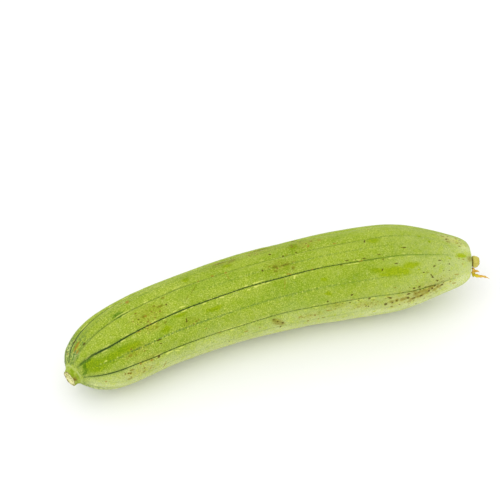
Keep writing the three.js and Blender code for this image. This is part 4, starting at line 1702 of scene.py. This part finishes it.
@dataclass
class WitheredSepals:
    """The withered flap, whisker and spur below the knob, wrinkled and curled.

    Attributes:
        angle: In what direction from the fruit's axis they lie, in radians round it.
        flap: The broad one that hangs from the fruit's end.
        whisker: The long thin one.
        spur: The short one beside the knob.
        rings: How many rings of points each has along it.
        sides: How many points a ring has.
    """

    angle: float = math.radians(-41)
    flap: Strip = Strip(((1.2, 4.6), (1.9, 8.3), (1.3, 12.4)), 2.7, 0.75, 1.1, 0.9, (0.6, 0.05))
    whisker: Strip = Strip(
        ((1.2, 10.2), (4.4, 11.3), (9, 11.9), (13.9, 14)), 1.6, 1.15, 0.3, 0.5, (0.05, 0.75),
    )
    spur: Strip = Strip(((1.2, 6.6), (4.2, 7.7), (6.6, 8.7)), 1.2, 0.85, 0.3, 0.6, (0.35, 0.6))
    rings: int = 44
    sides: int = 20

    def build(self, material: bpy.types.Material) -> bpy.types.Object:
        """Makes the three strips as one piece.

        Args:
            material: Their finish.

        Returns:
            The piece.
        """
        mesh = bmesh.new()
        out = mesh.verts.layers.float_vector.new("out")
        for number, strip in enumerate((self.flap, self.whisker, self.spur)):
            self.add_strip(mesh, out, strip, number)
        bmesh.ops.recalc_face_normals(mesh, faces=mesh.faces)
        return add_piece("withered_sepals_detail", mesh, material, "withered_sepals")

    def add_strip(
        self, mesh: bmesh.types.BMesh, out: bmesh.types.BMLayerItem, strip: Strip, number: int
    ) -> None:
        """Extrudes one strip, ring by ring, along its path.

        Args:
            mesh: The mesh that it is added to.
            out: The layer that keeps how dry each point is.
            strip: The strip's sizes.
            number: The strip's number, which sets its wrinkles.
        """
        path = evenly_spaced(catmull_rom(strip.path, 16), 0.1)
        ring = bmesh.ops.create_circle(mesh, segments=self.sides, radius=1)["verts"]
        edges = list({edge for vertex in ring for edge in vertex.link_edges})
        turns = [step / self.sides * math.tau for step in range(self.sides)]
        for step in range(self.rings + 1):
            share = step / self.rings
            if step:
                grown = bmesh.ops.extrude_edge_only(mesh, edges=edges)["geom"]
                edges = [part for part in grown if isinstance(part, bmesh.types.BMEdge)]
                edges = [edge for edge in edges if all(vertex in grown for vertex in edge.verts)]
                ring = self.in_order(edges, ring)
            dryness = lerp(*strip.dryness, share)
            for vertex, turn in zip(ring, turns):
                vertex.co = self.point(path, strip, share, turn, number)
                vertex[out] = (dryness, 0, 0)
        bmesh.ops.remove_doubles(mesh, verts=mesh.verts, dist=MM / 100)

    def in_order(
        self, edges: Sequence[bmesh.types.BMEdge], before: Sequence[bmesh.types.BMVert]
    ) -> list[bmesh.types.BMVert]:
        """The new ring's points, each in the place of the one that it grew from."""
        fresh = {vertex for edge in edges for vertex in edge.verts}
        return [next(e.other_vert(v) for e in v.link_edges if e.other_vert(v) in fresh) for v in before]

    def point(self, path: Pairs, strip: Strip, share: float, turn: float, number: int) -> Vector:
        """A point of a strip.

        Args:
            path: The strip's path, evenly spaced.
            strip: The strip's sizes.
            share: The share of its length.
            turn: The angle round it.
            number: The strip's number.

        Returns:
            The point, in metres.
        """
        end, along, _, _ = FRUIT_AXIS.directions(1.0)
        off = FRUIT_AXIS.way_out(1.0, 1.0, self.angle)
        wide = FRUIT_AXIS.way_out(1.0, 1.0, self.angle + math.pi / 2)
        place = min(int(share * (len(path) - 1)), len(path) - 2)
        between = share * (len(path) - 1) - place
        near, far = (along * p[0] + off * p[1] for p in path[place:place + 2])
        middle = near.lerp(far, between)
        ahead = (far - near).normalized()
        level = wide.cross(ahead).normalized()
        fullness = math.sin(math.pi * min(share, 1.0) ** strip.lean)
        wrinkle = noise.noise(Vector((share * 9, math.cos(turn) * 1.5, number * 5 + math.sin(turn) * 1.5)))
        curl = strip.curl * math.sin(share * 8 + number + 2.4 * math.cos(turn))
        width = fullness * strip.width * (1 + 0.22 * wrinkle)
        thick = fullness * (strip.thickness * math.sin(turn) * (1 + 0.6 * wrinkle) + curl)
        return end + (middle + wide * (width * math.cos(turn)) + level * thick) * MM


@dataclass(frozen=True)
class Studio:
    """A plain pale floor under soft light from all round, brighter from the upper left.

    Attributes:
        floor_size: The floor's width, in metres.
        floor_grey: How light the floor is.
        sky: How strong the light from all round is.
        lamp_power: The lamp's power, in watts.
        lamp_size: The lamp's width, in metres.
        lamp_place: Where the lamp is, in metres. It faces the object.
    """

    floor_size: float = 8.0
    floor_grey: float = 0.92
    sky: float = 1.08
    lamp_power: float = 5.0
    lamp_size: float = 1.3
    lamp_place: tuple[float, float, float] = (-0.7, -0.35, 1.25)

    def build(self) -> None:
        """Adds the floor and the lights."""
        self.add_floor()
        self.add_sky()
        self.add_lamp()
        bpy.context.scene.view_settings.view_transform = "Standard"

    def add_floor(self) -> None:
        """Adds the floor, which is of the stage and not of the object."""
        mesh = bmesh.new()
        bmesh.ops.create_grid(mesh, x_segments=1, y_segments=1, size=self.floor_size / 2)
        data = bpy.data.meshes.new("floor")
        mesh.to_mesh(data)
        mesh.free()
        graph = ShaderGraph("pale_floor")
        grey = self.floor_grey
        cooler = grey * 0.99
        graph.colour = graph.mix((grey, grey, grey, 1), (cooler, cooler, grey, 1), graph.clouds(3))
        data.materials.append(graph.finish(Roughness=0.85, Specular_IOR_Level=0.1))
        floor = bpy.data.objects.new("floor", data)
        bpy.context.scene.collection.objects.link(floor)

    def add_sky(self) -> None:
        """Adds the light from all round."""
        world = bpy.data.worlds.new("soft_light")
        world.use_nodes = True
        background = world.node_tree.nodes["Background"]
        background.inputs["Color"].default_value = (1, 1, 1, 1)
        background.inputs["Strength"].default_value = self.sky
        bpy.context.scene.world = world

    def add_lamp(self) -> None:
        """Adds the lamp at the upper left."""
        lamp = bpy.data.lights.new("soft_lamp", "AREA")
        lamp.energy = self.lamp_power
        lamp.size = self.lamp_size
        holder = bpy.data.objects.new("soft_lamp", lamp)
        bpy.context.scene.collection.objects.link(holder)
        place = Vector(self.lamp_place)
        holder.matrix_world = Matrix.Translation(place) @ place.to_track_quat("Z", "Y").to_matrix().to_4x4()


def main() -> None:
    """Builds the camera, the studio and the pieces, in order."""
    logging.basicConfig(level=logging.INFO, format="%(name)s: %(message)s")
    camera = PhotoCamera()
    camera.build()
    Studio().build()

    fruit = FruitSkin()
    shape = fruit.shape()
    fruit.unroll(shape)
    marks = MarkPlacer(shape, camera).place(MARKS)
    fruit.build(shape, GourdSkin(marks).paint())

    stub = StalkStub()
    stub.build(stub.shape(), StalkFinish().material())
    knob = FlowerKnob()
    knob.build(knob.shape(), KNOB_FINISH.material())
    WitheredSepals().build(SEPAL_FINISH.material())


if __name__ == "__main__":
    main()
